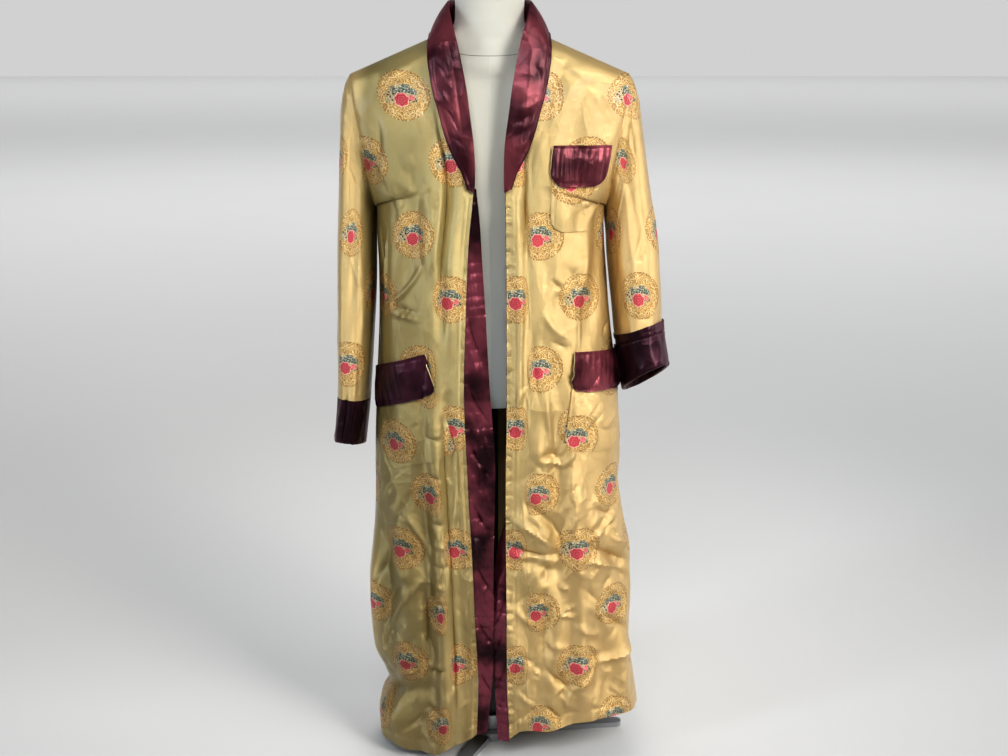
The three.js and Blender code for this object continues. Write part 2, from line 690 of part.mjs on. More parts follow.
// Satin bands at the front edges. swing is 0 where a band reaches towards the other front and
// 180 where it is folded flat inside its own.
const bands = {
  right: [
    { z: 62, width: 20, swing: 14 },
    { z: 180, width: 28, swing: 12 },
    { z: 310, width: 35, swing: 9 },
    { z: 430, width: 40, swing: 14 },
    { z: 550, width: 49, swing: 12 },
    { z: 645, width: 52, swing: 10 },
    { z: 740, width: 48, swing: 14 },
    { z: 830, width: 41, swing: 12 },
    { z: 1010, width: 23, swing: 10 },
    { z: 1098, width: 7, swing: 16 },
  ],
  left: [
    { z: 50, width: 24, swing: 24 },
    { z: 180, width: 27, swing: 30 },
    { z: 320, width: 30, swing: 36 },
    { z: 430, width: 30, swing: 58 },
    { z: 540, width: 30, swing: 120 },
    { z: 660, width: 32, swing: 160 },
    { z: 800, width: 32, swing: 166 },
    { z: 1010, width: 30, swing: 166 },
    { z: 1098, width: 12, swing: 168 },
  ],
};
const bandRows = 24;
const bandColumns = 4;

function bandWall(side) {
  const sign = signOf[side];
  const low = bands[side][0].z;
  const high = bands[side].at(-1).z;
  const grid = gridOf(bandRows, bandColumns, (reach, rise) => {
    const z = lerp(low, high, rise);
    const band = sample(bands[side], 'z', z);
    const hinge = frontPoint(side, 0, heightAt(side, 0, z));
    const swing = degToRad(band.swing);
    const way = reach * band.width;
    const sag = 1.6 * Math.sin(reach * Math.PI) * Math.sin(z / 23) * Math.max(Math.cos(swing), 0);
    return new THREE.Vector3(
      hinge.x - sign * (seamGap + 0.1 + way * Math.cos(swing)),
      hinge.y + 0.6 + way * Math.sin(swing) - sag,
      z,
    );
  });
  if (sign > 0) grid.forEach((row) => row.reverse());
  return wall(grid, trimWall);
}

// ---- pockets --------------------------------------------------------------------------------

// Patch pockets with gathered satin tops. across and topZ give the top's inner corner on the
// panel; tilt turns a pocket about it, and drop is how far its sides run down before the curve.
const pockets = [
  {
    side: 'left', name: 'chest', across: 76, topZ: 1188, width: 98, flapHeight: 69, height: 147,
    tilt: 0, corner: 26, gathers: 9, gatherRise: 2.2,
  },
  {
    side: 'left', name: 'left', across: 128, topZ: 826, width: 146, flapHeight: 71, height: 183,
    tilt: 3, corner: 20, gathers: 12, gatherRise: 2.6,
  },
  {
    side: 'right', name: 'right', across: 84, topZ: 828, width: 146, flapHeight: 73, height: 186,
    tilt: -9, corner: 20, gathers: 12, gatherRise: 2.6,
  },
];

// A place on a pocket, from its inner top corner: along its top and down its side.
function pocketPlace(pocket, along, down, lift) {
  const turn = degToRad(pocket.tilt);
  const across = pocket.across + along * Math.cos(turn) - down * Math.sin(turn);
  const z = pocket.topZ + along * Math.sin(turn) - down * Math.cos(turn);
  let share = 0.5;
  let height = 0.5;
  for (let k = 0; k < 6; k += 1) {
    height = heightAt(pocket.side, share, z);
    share = clamp(across / frontRow(pocket.side, height).length, 0, 0.985);
  }
  return overFront(pocket.side, share, height, lift);
}

// How much of a pocket's height is left at a place along it: its lower corners are rounded.
function roundedDepth(along, width, corner, full) {
  const fromSide = Math.min(along, width - along);
  if (fromSide >= corner) return full;
  return full - corner * (1 - Math.sqrt(1 - (1 - fromSide / corner) ** 2));
}

function pocketGrid(pocket, rows, columns, { top, bottom, inset, lift, wave }) {
  const grid = gridOf(rows, columns, (t, rise) => {
    const along = inset + t * (pocket.width - 2 * inset);
    const low = roundedDepth(along - inset, pocket.width - 2 * inset, pocket.corner, bottom);
    const down = lerp(low, top, rise);
    return pocketPlace(pocket, along, down, lift + wave(t, rise));
  });
  if (signOf[pocket.side] < 0) grid.forEach((row) => row.reverse());
  return grid;
}

function pocketPatch(pocket) {
  const grid = pocketGrid(pocket, 6, 9, {
    top: pocket.flapHeight * 0.8,
    bottom: pocket.height,
    inset: 2,
    lift: layGap,
    wave: (t, rise) => 2.5 * Math.sin(Math.PI * t) * Math.sin(Math.PI * Math.min(rise * 1.1, 1)),
  });
  return wall(grid, trimWall);
}

function pocketFlap(pocket) {
  const columns = pocket.gathers * 2;
  const grid = pocketGrid(pocket, 4, columns, {
    top: 0,
    bottom: pocket.flapHeight,
    inset: 0,
    lift: layGap + trimWall + topGap,
    wave: (t, rise) => {
      const odd = Math.round(t * columns) % 2;
      const held = 1 - 0.8 * smoothstep(rise, 0.55, 1);
      return pocket.gatherRise * odd * held + 2.5 * Math.sin(Math.PI * t) * (1 - rise);
    },
  });
  return wall(grid, trimWall);
}

// ---- dress form and stand -------------------------------------------------------------------

// Rings of the form: half its width, and how far it reaches to the front and to the back.
const formRings = [
  { z: formBottomZ, half: 128, front: 80, back: 88 },
  { z: 730, half: 136, front: 85, back: 93 },
  { z: 790, half: 144, front: 87, back: 96 },
  { z: 860, half: 144, front: 85, back: 94 },
  { z: 940, half: 134, front: 82, back: 86 },
  { z: 1010, half: 126, front: 82, back: 80 },
  { z: 1080, half: 136, front: 90, back: 84 },
  { z: 1150, half: 150, front: 94, back: 92 },
  { z: 1210, half: 162, front: 86, back: 92 },
  { z: 1260, half: 174, front: 74, back: 84 },
  { z: 1300, half: 183, front: 58, back: 68 },
];
// The robe rests on the ends of the form's shoulders, and clears them more and more to the neck.
const formShoulder = { half: 186, z: 1329.3 };
const formNeckFoot = { half: neckX, z: neckZ - 7 };
const shoulderSteps = 4;
const formNeck = [
  { z: 1385, half: 63, front: 50, back: 55 },
  { z: 1402, half: 60.5, front: 50, back: 54 },
  { z: neckTopZ - 5, half: 60, front: 50, back: 54 },
  { z: neckTopZ, half: 56, front: 47, back: 50 },
];
const formSides = 28;

function dressForm() {
  const rings = [...formRings];
  for (let k = 0; k <= shoulderSteps; k += 1) {
    const t = k / shoulderSteps;
    rings.push({
      z: lerp(formShoulder.z, formNeckFoot.z, t),
      half: lerp(formShoulder.half, formNeckFoot.half, t),
      front: lerp(34, 47, t),
      back: lerp(38, 55, t),
    });
  }
  rings.push(...formNeck);
  const positions = [];
  const index = [];
  for (const ring of rings) {
    for (let j = 0; j < formSides; j += 1) {
      const angle = (j * 2 * Math.PI) / formSides;
      const depth = Math.sin(angle) < 0 ? ring.front : ring.back;
      positions.push(ring.half * Math.cos(angle), depth * Math.sin(angle), ring.z);
    }
  }
  for (let i = 0; i < rings.length - 1; i += 1) {
    for (let j = 0; j < formSides; j += 1) {
      const a = i * formSides + j;
      const b = i * formSides + ((j + 1) % formSides);
      index.push(a, b, b + formSides, a, b + formSides, a + formSides);
    }
  }
  const topStart = (rings.length - 1) * formSides;
  for (let j = 1; j < formSides - 1; j += 1) {
    index.push(0, j + 1, j);
    index.push(topStart, topStart + j, topStart + j + 1);
  }
  const geometry = new THREE.BufferGeometry();
  geometry.setAttribute('position', new THREE.Float32BufferAttribute(positions, 3));
  geometry.setIndex(index);
  return geometry;
}

const upright = (geometry) => geometry.rotateX(Math.PI / 2); // lathe and cylinder axes to Z

// Round piece from a table of radii and heights, closed on its axis.
function turned(profile, sides) {
  const points = profile.map(([radius, z]) => new THREE.Vector2(radius, z));
  const geometry = new THREE.LatheGeometry(points, sides);
  geometry.deleteAttribute('normal');
  geometry.deleteAttribute('uv');
  return upright(mergeVertices(geometry, 1e-4));
}

const flange = { radius: 42, height: 7 };
const hub = { radius: 44, height: 16, collarRadius: 24, collarTop: 46 };
const foot = { width: 30, tipWidth: 22, start: hub.radius + seamGap };
const footTurns = [5, 125, 245]; // degrees about the pole, from the wearer's left

function pole() {
  const top = formBottomZ - flange.height - 2 * seamGap;
  return turned([[0, hub.collarTop + seamGap], [poleRadius, hub.collarTop + seamGap], [poleRadius, top], [0, top]], 20);
}

function footBar() {
  const shape = new THREE.Shape();
  shape.moveTo(foot.start, -foot.width / 2);
  shape.lineTo(baseReach - foot.tipWidth / 2, -foot.tipWidth / 2);
  shape.absarc(baseReach - foot.tipWidth / 2, 0, foot.tipWidth / 2, -Math.PI / 2, Math.PI / 2);
  shape.lineTo(foot.start, foot.width / 2);
  shape.closePath();
  return new THREE.ExtrudeGeometry(shape, { depth: footHeight, bevelEnabled: false, curveSegments: 8 });
}

// ---- assembly -------------------------------------------------------------------------------

const brocade = { color: 0xb39b62, roughness: 0.36, metalness: 0.25 };
const satin = { color: 0x5a1e2d, roughness: 0.34, metalness: 0 };
const cover = { color: 0xdcd8c8, roughness: 0.85, metalness: 0 };
const darkSteel = { color: 0x2a2b2e, roughness: 0.45, metalness: 0.7 };
const steel = { color: 0x8e9196, roughness: 0.35, metalness: 0.9 };

const group = new THREE.Group();

function add(name, geometry, finish, turn = 0) {
  const mesh = new THREE.Mesh(geometry, new THREE.MeshStandardMaterial(finish));
  mesh.name = name;
  mesh.rotation.z = degToRad(turn);
  group.add(mesh);
}

for (const side of ['right', 'left']) {
  add(`front_${side}`, frontPanel(side), brocade);
  add(`sleeve_${side}`, sleeveWall(side, 0, cuffRing, 12, clothWall), brocade);
  add(`cuff_${side}`, sleeveWall(side, cuffRing + 0.006, endRing, 3, trimWall + 0.4), satin);
  add(`band_${side}`, bandWall(side), satin);
}
add('back', backPanel(), brocade);
add('collar', wall(collarGrid(), clothWall), satin);
for (const pocket of pockets) {
  add(`pocket_${pocket.name}`, pocketPatch(pocket), brocade);
  add(`pocket_top_${pocket.name}`, pocketFlap(pocket), satin);
}

add('form', dressForm(), cover);
const flangeBottom = formBottomZ - seamGap - flange.height;
add(
  'form_flange',
  turned([[0, flangeBottom], [flange.radius, flangeBottom], [flange.radius, formBottomZ - seamGap], [0, formBottomZ - seamGap]], 24),
  darkSteel,
);
add('pole', pole(), darkSteel);
add(
  'base_hub',
  turned(
    [[0, 0], [hub.radius, 0], [hub.radius, hub.height], [hub.collarRadius, hub.height],
      [hub.collarRadius, hub.collarTop], [0, hub.collarTop]],
    24,
  ),
  steel,
);
footTurns.forEach((turn, k) => add(`base_foot_${k + 1}`, footBar(), steel, turn));

export default group;
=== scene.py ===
# A long brocade robe with a satin shawl collar, worn open on a limbless dress form and its stand.
# Sizes are in millimetres until a mesh is made. Right and left are the wearer's: right is at -X.
import math

import bpy
import numpy as np
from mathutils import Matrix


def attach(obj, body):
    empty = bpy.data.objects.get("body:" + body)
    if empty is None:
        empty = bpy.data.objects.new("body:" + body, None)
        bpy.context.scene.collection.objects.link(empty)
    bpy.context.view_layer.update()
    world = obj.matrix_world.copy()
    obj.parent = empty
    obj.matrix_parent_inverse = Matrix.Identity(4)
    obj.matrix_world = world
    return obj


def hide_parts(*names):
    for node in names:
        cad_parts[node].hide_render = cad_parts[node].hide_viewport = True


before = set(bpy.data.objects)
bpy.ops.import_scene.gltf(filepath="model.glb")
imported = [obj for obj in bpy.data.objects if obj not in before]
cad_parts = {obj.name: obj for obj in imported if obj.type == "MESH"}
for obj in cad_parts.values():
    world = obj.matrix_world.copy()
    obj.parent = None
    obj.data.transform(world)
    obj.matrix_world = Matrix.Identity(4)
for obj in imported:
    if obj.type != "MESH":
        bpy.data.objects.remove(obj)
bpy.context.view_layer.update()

print("frame loaded:", len(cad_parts), "nodes")

# camera, stage and lights

view = {"lens": 43.14, "place": (0.025, -2.2, 1.35), "pitch": 74.7}
cameraData = bpy.data.cameras.new("camera")
cameraData.lens = view["lens"]
cameraObject = bpy.data.objects.new("camera", cameraData)
cameraObject.location = view["place"]
cameraObject.rotation_euler = (math.radians(view["pitch"]), 0, 0)
bpy.context.collection.objects.link(cameraObject)
bpy.context.scene.camera = cameraObject
bpy.context.scene.view_settings.view_transform = "Standard"
bpy.context.scene.view_settings.look = "Medium High Contrast"

lamps = [  # place and target in metres, size in metres, watts, beam in degrees, colour
    {"place": (1.9, -2.0, 2.3), "aim": (0, 0, 0.8), "size": (0.9, 1.4), "power": 8.5, "beam": 64,
     "colour": (1, 0.96, 0.88)},
    {"place": (-2.5, -1.4, 1.7), "aim": (0, 0, 0.8), "size": (0.4, 2.0), "power": 5, "beam": 60,
     "colour": (0.84, 0.92, 1)},
    {"place": (-0.4, -2.6, 3.1), "aim": (0, 0, 1.0), "size": (1.3, 0.5), "power": 4.4, "beam": 54,
     "colour": (0.95, 0.98, 1)},
    {"place": (0.5, 2.6, 2.6), "aim": (0, 0, 0.9), "size": (1.4, 1.2), "power": 7.5, "beam": 90,
     "colour": (1, 0.98, 0.95), "mirrored": False},
    {"place": (2.6, 0.6, 1.4), "aim": (0, 0, 0.8), "size": (0.5, 2.0), "power": 2.4, "beam": 70,
     "colour": (0.95, 0.97, 1)},
    {"place": (0, 8, 6), "aim": (0, 8.1, 0), "size": (16, 10), "power": 520, "beam": 170,
     "colour": (1, 1, 1), "mirrored": False},
    {"place": (0, 42, 20), "aim": (0, 42.1, 0), "size": (80, 56), "power": 14000, "beam": 170,
     "colour": (1, 1, 1), "mirrored": False},
]
for lamp in lamps:
    data = bpy.data.lights.new("lamp", "AREA")
    data.shape = "RECTANGLE"
    data.size, data.size_y = lamp["size"]
    data.energy = lamp["power"]
    data.color = lamp["colour"]
    data.spread = math.radians(lamp["beam"])
    holder = bpy.data.objects.new("lamp", data)
    holder.location = lamp["place"]
    holder.visible_glossy = lamp.get("mirrored", True)  # some stay out of the satin's gloss
    way = np.array(lamp["aim"]) - np.array(lamp["place"])
    holder.rotation_euler = (
        math.atan2(math.hypot(way[0], way[1]), -way[2]), 0, math.atan2(-way[0], way[1])
    )
    bpy.context.collection.objects.link(holder)

world = bpy.data.worlds.new("studio")
bpy.context.scene.world = world
world.use_nodes = True

# shader tools


class Wire:  # a socket of a shader, with arithmetic
    def __init__(self, tree, socket=None):
        self.tree = tree
        self.socket = socket

    def node(self, kind, settings=None, inputs=None, output=0):
        made = self.tree.nodes.new(kind)
        for name, value in (settings or {}).items():
            setattr(made, name, value)
        for name, value in (inputs or {}).items():
            if isinstance(value, Wire):
                self.tree.links.new(value.socket, made.inputs[name])
            else:
                made.inputs[name].default_value = value
        return Wire(self.tree, made.outputs[output])

    def math(self, operation, *values):
        return self.node("ShaderNodeMath", {"operation": operation}, dict(enumerate(values)))

    def __add__(self, other):
        return self.math("ADD", self, other)

    def __radd__(self, other):
        return self.math("ADD", other, self)

    def __sub__(self, other):
        return self.math("SUBTRACT", self, other)

    def __rsub__(self, other):
        return self.math("SUBTRACT", other, self)

    def __mul__(self, other):
        return self.math("MULTIPLY", self, other)

    def __rmul__(self, other):
        return self.math("MULTIPLY", other, self)

    def __truediv__(self, other):
        return self.math("DIVIDE", self, other)

    def __rtruediv__(self, other):
        return self.math("DIVIDE", other, self)

    def __lt__(self, other):
        return self.math("LESS_THAN", self, other)

    def __gt__(self, other):
        return self.math("GREATER_THAN", self, other)

    def fade(self, low, high):  # 0 at low, 1 at high, smooth between
        return self.node(
            "ShaderNodeMapRange",
            {"interpolation_type": "SMOOTHSTEP"},
            {"Value": self, "From Min": low, "From Max": high},
        )

    def mix(self, factor, first, second):  # two colours
        return self.node(
            "ShaderNodeMix",
            {"data_type": "RGBA"},
            {0: factor, 6: asColour(first), 7: asColour(second)},
            output=2,
        )


def asColour(value):
    return value if isinstance(value, Wire) else (*value, 1)


def newMaterial(name, **constants):  # its tree's wires, and a function that finishes it
    material = bpy.data.materials.new(name)
    material.use_nodes = True
    tree = material.node_tree
    shader = tree.nodes["Principled BSDF"]
    for socket, value in constants.items():
        shader.inputs[socket.replace("_", " ")].default_value = value

    def finish(**links):
        for socket, wire in links.items():
            tree.links.new(wire.socket, shader.inputs[socket.replace("_", " ")])
        return material

    return Wire(tree), finish


def axisOf(wires, vector, axis):
    return wires.node("ShaderNodeSeparateXYZ", {}, {"Vector": vector}, axis)


def clothPlace(wires):  # millimetres across and up the cloth
    uv = wires.node("ShaderNodeUVMap", {"uv_map": "cloth"})
    return axisOf(wires, uv, 0) * 1000, axisOf(wires, uv, 1) * 1000


def roomPlace(wires):  # metres from the stand's foot
    return wires.node("ShaderNodeTexCoord", output=3)


def noiseAt(wires, vector, scale, detail):
    return wires.node("ShaderNodeTexNoise", {}, {"Vector": vector, "Scale": scale, "Detail": detail})


def cellsAt(wires, vector, scale):  # distance from the nearest of scattered spots
    return wires.node("ShaderNodeTexVoronoi", {}, {"Vector": vector, "Scale": scale})


def aroundMiddle(wires, x, y):  # distance and bearing
    return wires.math("SQRT", x * x + y * y), wires.math("ARCTAN2", y, x)


def vectorOf(wires, x, y, z=0.0):
    return wires.node("ShaderNodeCombineXYZ", {}, {"X": x, "Y": y, "Z": z})


def bumpOf(wires, height, distance, strength):
    return wires.node(
        "ShaderNodeBump", {}, {"Height": height, "Distance": distance, "Strength": strength}
    )


def facetsOf(wires, x, y, size, stretch):
    # shallow hollows that meet in crisp ridges, as in crushed satin
    warpX = noiseAt(wires, vectorOf(wires, x / (size * 2), y / (size * 2.6)), 1.0, 1.0)
    warpY = noiseAt(wires, vectorOf(wires, y / (size * 2), x / (size * 2), 9.0), 1.0, 1.0)
    spot = vectorOf(wires, x / size + warpX * 1.8, y / (size * stretch) + warpY * 1.8)
    hollow = cellsAt(wires, spot, 1.0)
    return hollow * hollow


studio = {
    "behind": (0.55, 0.55, 0.55),  # the horizon behind the robe, before it, and overhead
    "before": (0.2, 0.2, 0.205),
    "overhead": (0.09, 0.093, 0.1),
    "sun": 1.2,
    "sunSpread": 30,  # degrees
    "sunTurn": (50, 0, 58),
    "floorReach": 58,  # metres
    "floorPale": (0.50, 0.50, 0.497),
    "floorPaler": (0.52, 0.52, 0.517),
}
sky = Wire(world.node_tree)  # pale at the horizon, dimmer above, so that satin has something to mirror
skyWay = sky.node("ShaderNodeTexCoord")
horizon = sky.mix(axisOf(sky, skyWay, 1).fade(-0.2, 0.7), studio["before"], studio["behind"])
skyTone = sky.mix(axisOf(sky, skyWay, 2).fade(0.05, 0.4), horizon, studio["overhead"])
world.node_tree.links.new(skyTone.socket, world.node_tree.nodes["Background"].inputs["Color"])
sunData = bpy.data.lights.new("sun", "SUN")
sunData.energy = studio["sun"]
sunData.angle = math.radians(studio["sunSpread"])
sunObject = bpy.data.objects.new("sun", sunData)
sunObject.rotation_euler = [math.radians(turn) for turn in studio["sunTurn"]]
bpy.context.collection.objects.link(sunObject)

# the gold brocade: woven roundels in a half drop on a satin ground

weave = {
    "rise": 237.0,  # from one roundel to the next above it
    "step": 76.5,  # from a column to the next, which is half a repeat lower
    "drop": 110.0,
    "firstRow": 1034.0,  # height of a roundel's middle in the first column
    "radius": 42.5,
    "rim": 2.6,  # width of the edge's ring of short dark threads
    "rimThreads": 40,
    "arches": 9,  # arches round the inside of the rim
    "archDepth": 7.5,
    "ground": (0.60, 0.41, 0.175),
    # painted shade: the darker, cooler ground of the robe's shaded side
    "groundShadedCool": (0.42, 0.345, 0.15),
    "groundDeep": (0.42, 0.27, 0.075),
    "shade": (0.46, 0.43, 0.34),
    "ochre": (0.46, 0.235, 0.045),
    "amber": (0.56, 0.31, 0.07),
    "cream": (0.86, 0.68, 0.36),
    "brown": (0.10, 0.06, 0.02),
    "crimson": (0.46, 0.015, 0.045),
    "rose": (0.78, 0.13, 0.17),
    "blush": (0.86, 0.47, 0.38),
    "leaf": (0.075, 0.105, 0.085),
    "leafPale": (0.36, 0.41, 0.33),
    "ink": (0.02, 0.022, 0.02),
    "pearl": (0.74, 0.72, 0.56),
    "flower": (-4.6, -7.4, 11.0),  # across, up and radius
    "bud": (11.6, -4.2, 4.2),
    "leaves": [  # across, up, half length, half width and turn in degrees
        (1.5, 10.6, 10.2, 6.6, 24), (-13.4, 7.6, 8.0, 4.6, 118), (14.6, 6.2, 7.6, 4.4, -38),
    ],
}


def roundels(wires, x, y):  # the ground's colour and a mask of raised figures
    def wrapped(value, period):
        return wires.math("WRAP", value, period / 2, -period / 2)

    twice = 2 * weave["step"]
    xFirst = wrapped(x, twice)
    yFirst = wrapped(y - weave["firstRow"], weave["rise"])
    xSecond = wrapped(x - weave["step"], twice)
    ySecond = wrapped(y - (weave["firstRow"] - weave["drop"]), weave["rise"])
    nearer = (xSecond * xSecond + ySecond * ySecond) < (xFirst * xFirst + yFirst * yFirst)
    px = xFirst + (xSecond - xFirst) * nearer
    py = yFirst + (ySecond - yFirst) * nearer
    radius, angle = aroundMiddle(wires, px, py)
    inside = 1 - radius.fade(weave["radius"] - 0.8, weave["radius"] + 0.4)

    local = vectorOf(wires, px, py)
    curl = noiseAt(wires, local, 0.062, 1.0)
    scroll = wires.math("ABSOLUTE", wires.math("FRACT", curl * 10) - 0.5)
    fine = noiseAt(wires, vectorOf(wires, px, py, 60.0), 0.1, 0.0)
    fineScroll = wires.math("ABSOLUTE", wires.math("FRACT", fine * 8) - 0.5)
    fineThread = (1 - fineScroll.fade(0.03, 0.12)) * 0.8
    thread = wires.math("MAXIMUM", 1 - scroll.fade(0.05, 0.17), fineThread)
    shadow = scroll.fade(0.27, 0.42)
    patch = noiseAt(wires, local, 0.05, 0.0).fade(0.42, 0.6)
    grain = noiseAt(wires, local, 0.5, 0.0)
    colour = wires.mix(patch, weave["ochre"], weave["amber"])
    colour = wires.mix(shadow * grain.fade(0.3, 0.55) * 0.62, colour, weave["brown"])
    archWave = 4 * wires.math("ABSOLUTE", wires.math("SINE", angle * weave["arches"]))
    arches = radius - (weave["radius"] - weave["archDepth"]) + archWave
    arches = 1 - wires.math("ABSOLUTE", arches).fade(0.4, 1.3)
    colour = wires.mix(wires.math("MAXIMUM", thread, arches * 0.8) * 0.85, colour, weave["cream"])
    rimBand = radius.fade(weave["radius"] - weave["rim"], weave["radius"] - weave["rim"] + 1.2)
    rimDashes = wires.math("SINE", angle * weave["rimThreads"]).fade(-0.2, 0.3)
    colour = wires.mix(rimBand * rimDashes * 0.6, colour, weave["brown"])

    flowerX, flowerY, flowerSize = weave["flower"]
    flowerX, flowerY = px - flowerX, py - flowerY
    fromFlower, flowerAngle = aroundMiddle(wires, flowerX, flowerY)
    spots = cellsAt(wires, local, 0.23)
    pearls = cellsAt(wires, vectorOf(wires, px, py, 33.0), 0.29)
    nearLeaves = fromFlower.fade(11, 12) * (1 - fromFlower.fade(24, 27)) * flowerY.fade(-7, -2)
    colour = wires.mix(nearLeaves * 0.45, colour, weave["leafPale"])
    colour = wires.mix(nearLeaves * (1 - pearls.fade(0.26, 0.36)) * 0.9, colour, weave["cream"])
    colour = wires.mix(nearLeaves * (1 - spots.fade(0.34, 0.42)), colour, weave["ink"])
    for leafX, leafY, halfLong, halfWide, turn in weave["leaves"]:
        c, s = math.cos(math.radians(turn)), math.sin(math.radians(turn))
        lengthwise = ((px - leafX) * c + (py - leafY) * s) / halfLong
        sideways = ((py - leafY) * c - (px - leafX) * s) / halfWide
        leafEdge = wires.math("SQRT", lengthwise * lengthwise + sideways * sideways)
        veins = wires.math("SINE", lengthwise * 9 + wires.math("ABSOLUTE", sideways) * 5).fade(0.3, 0.9)
        tone = wires.mix(veins * 0.7, weave["leaf"], weave["leafPale"])
        tone = wires.mix((1 - spots.fade(0.32, 0.42)) * 0.9, tone, weave["ink"])
        tone = wires.mix((1 - pearls.fade(0.22, 0.32)) * 0.85, tone, weave["pearl"])
        colour = wires.mix(1 - leafEdge.fade(0.95, 1.1), colour, tone)
    flowerRim = flowerSize + 0.7 * wires.math("SINE", flowerAngle * 7)
    petals = wires.math("SINE", fromFlower * 1.5 + 1.6 * wires.math("SINE", flowerAngle * 5))
    petalTone = wires.mix(petals.fade(0.1, 0.9) * 0.75, weave["crimson"], weave["rose"])
    colour = wires.mix(1 - (fromFlower - flowerRim).fade(0.6, 1.6), colour, weave["blush"])
    colour = wires.mix(1 - (fromFlower - flowerRim).fade(-0.5, 0.3), colour, petalTone)
    budX, budY, budSize = weave["bud"]
    fromBud = aroundMiddle(wires, px - budX, py - budY)[0]
    budMask = (1 - fromBud.fade(budSize, budSize + 1.2)) * grain.fade(0.3, 0.45)
    colour = wires.mix(budMask, colour, weave["rose"])
    return colour, inside, thread


goldFinish = {
    "metallic": 0.56,
    "roughness": 0.31,
    "hollows": (44.0, 1.5, 22),  # size in millimetres, stretch and strength of the crushed hollows
    "smallHollows": (21.0, 1.3, 6),
    "relief": 0.00028,  # metres
    "duller": (0.36, 0.30, 0.19),  # the wrong side's tone
}


def brocade(name, dull=0.0):  # dull is 1 on the cloth's wrong side
    wires, finish = newMaterial(
        name,
        Metallic=goldFinish["metallic"] - dull * 0.36,
        Coat_Weight=0.25,
        Coat_Roughness=0.3,
        Specular_IOR_Level=0.6,
    )
    x, y = clothPlace(wires)
    figure, inside, thread = roundels(wires, x, y)
    spot = roomPlace(wires)
    side, height = axisOf(wires, spot, 0), axisOf(wires, spot, 2)
    cloud = noiseAt(wires, spot, 7.0, 2.0)
    body = side.fade(-0.24, -0.205)  # all but the right sleeve
    # painted shade: the ground turns darker and cooler towards the wearer's right side and higher up, less
    # so on the right sleeve
    shadedSideMask = (cloud * 0.3 - side * 2.2 + height * 0.25).fade(-0.25, 0.75) * (body * 0.7 + 0.3)
    ground = wires.mix(shadedSideMask, weave["ground"], weave["groundShadedCool"])
    worn = noiseAt(wires, spot, 26.0, 3.0)
    ground = wires.mix(worn.fade(0.45, 0.8) * 0.35, ground, weave["groundDeep"])
    slub = noiseAt(wires, vectorOf(wires, x * 0.02, y * 0.6), 6.0, 2.0)
    ground = wires.mix(slub.fade(0.5, 0.8) * 0.14, ground, weave["cream"])
    colour = wires.mix(inside * (0.93 - dull * 0.5), ground, figure)
    crest = side.fade(-0.1, -0.078) * (1 - side.fade(-0.062, -0.046))  # the fold beside the edge
    shade = (cloud * 0.8 - side * 3 - height * 0.5).fade(0.05, 0.55) * body * (0.85 - crest * 0.6)
    colour = wires.node(
        "ShaderNodeMix",
        {"data_type": "RGBA", "blend_type": "MULTIPLY"},
        {0: shade, 6: colour, 7: asColour(weave["shade"])},
        output=2,
    )
    if dull:
        colour = wires.mix(dull * 0.5, colour, goldFinish["duller"])
    rough = goldFinish["roughness"] + dull * 0.3 + inside * 0.14 + worn * 0.06
    ribs = wires.math("SINE", y * 7.0) * 0.3 + slub * 0.6 + inside * (thread * 0.9 + 0.5)
    ripple = noiseAt(wires, vectorOf(wires, x * 0.03, y * 0.012), 1.0, 3.0)
    limp = 0.4 + 0.8 * (1 - height.fade(0.35, 0.85))  # the skirt is the more crushed
    size, stretch, strength = goldFinish["hollows"]
    smallSize, smallStretch, smallStrength = goldFinish["smallHollows"]
    crushed = facetsOf(wires, x, y, size, stretch) * strength
    crushed = crushed + facetsOf(wires, x + 300, y, smallSize, smallStretch) * smallStrength
    crushed = crushed * limp * noiseAt(wires, spot, 5.0, 1.0).fade(0.3, 0.6)
    normal = bumpOf(wires, ribs + ripple * 4 + crushed, goldFinish["relief"], 0.9)
    return finish(Base_Color=colour, Roughness=rough, Normal=normal)


satinFinish = {
    "metallic": 0.5,
    "hollows": (24.0, 1.4, 17),
    "relief": 0.00022,
}


def satin(name, paintedShade, paintedLight, tint, roughness=0.3):
    wires, finish = newMaterial(
        name,
        Metallic=satinFinish["metallic"],
        Coat_Weight=0.08,
        Coat_Roughness=0.26,
        Sheen_Weight=0.01,
        Sheen_Roughness=0.3,
        Sheen_Tint=(*tint, 1),
        Specular_Tint=(0.95, 0.66, 0.72, 1),
        Specular_IOR_Level=0.28,
    )
    x, y = clothPlace(wires)
    spot = roomPlace(wires)
    cloud = noiseAt(wires, spot, 11.0, 3.0)
    threads = noiseAt(wires, vectorOf(wires, x * 1.4, y * 0.03), 1.0, 2.0)
    # painted light and shade: a noise mixes a shaded and a lit tone of the satin, and streaks along the
    # threads are painted lighter still
    colour = wires.mix(cloud.fade(0.4, 0.62), paintedShade, paintedLight)
    colour = wires.mix(threads.fade(0.5, 0.9) * 0.3, colour, tuple(min(1, 1.6 * c) for c in paintedLight))
    ripple = noiseAt(wires, vectorOf(wires, x * 0.05, y * 0.02), 1.0, 3.0)
    size, stretch, strength = satinFinish["hollows"]
    crushed = facetsOf(wires, x, y, size, stretch) * strength
    crushed = crushed * noiseAt(wires, spot, 12.0, 1.0).fade(0.3, 0.6)
    normal = bumpOf(wires, threads * 0.5 + ripple * 4 + crushed, satinFinish["relief"], 0.9)
    return finish(Base_Color=colour, Roughness=roughness + cloud * 0.1, Normal=normal)


coverTones = {
    "warm": (0.50, 0.49, 0.43), "pale": (0.55, 0.54, 0.48), "low": (0.47, 0.50, 0.50),
    "seam": (0.06, 0.06, 0.055),
}


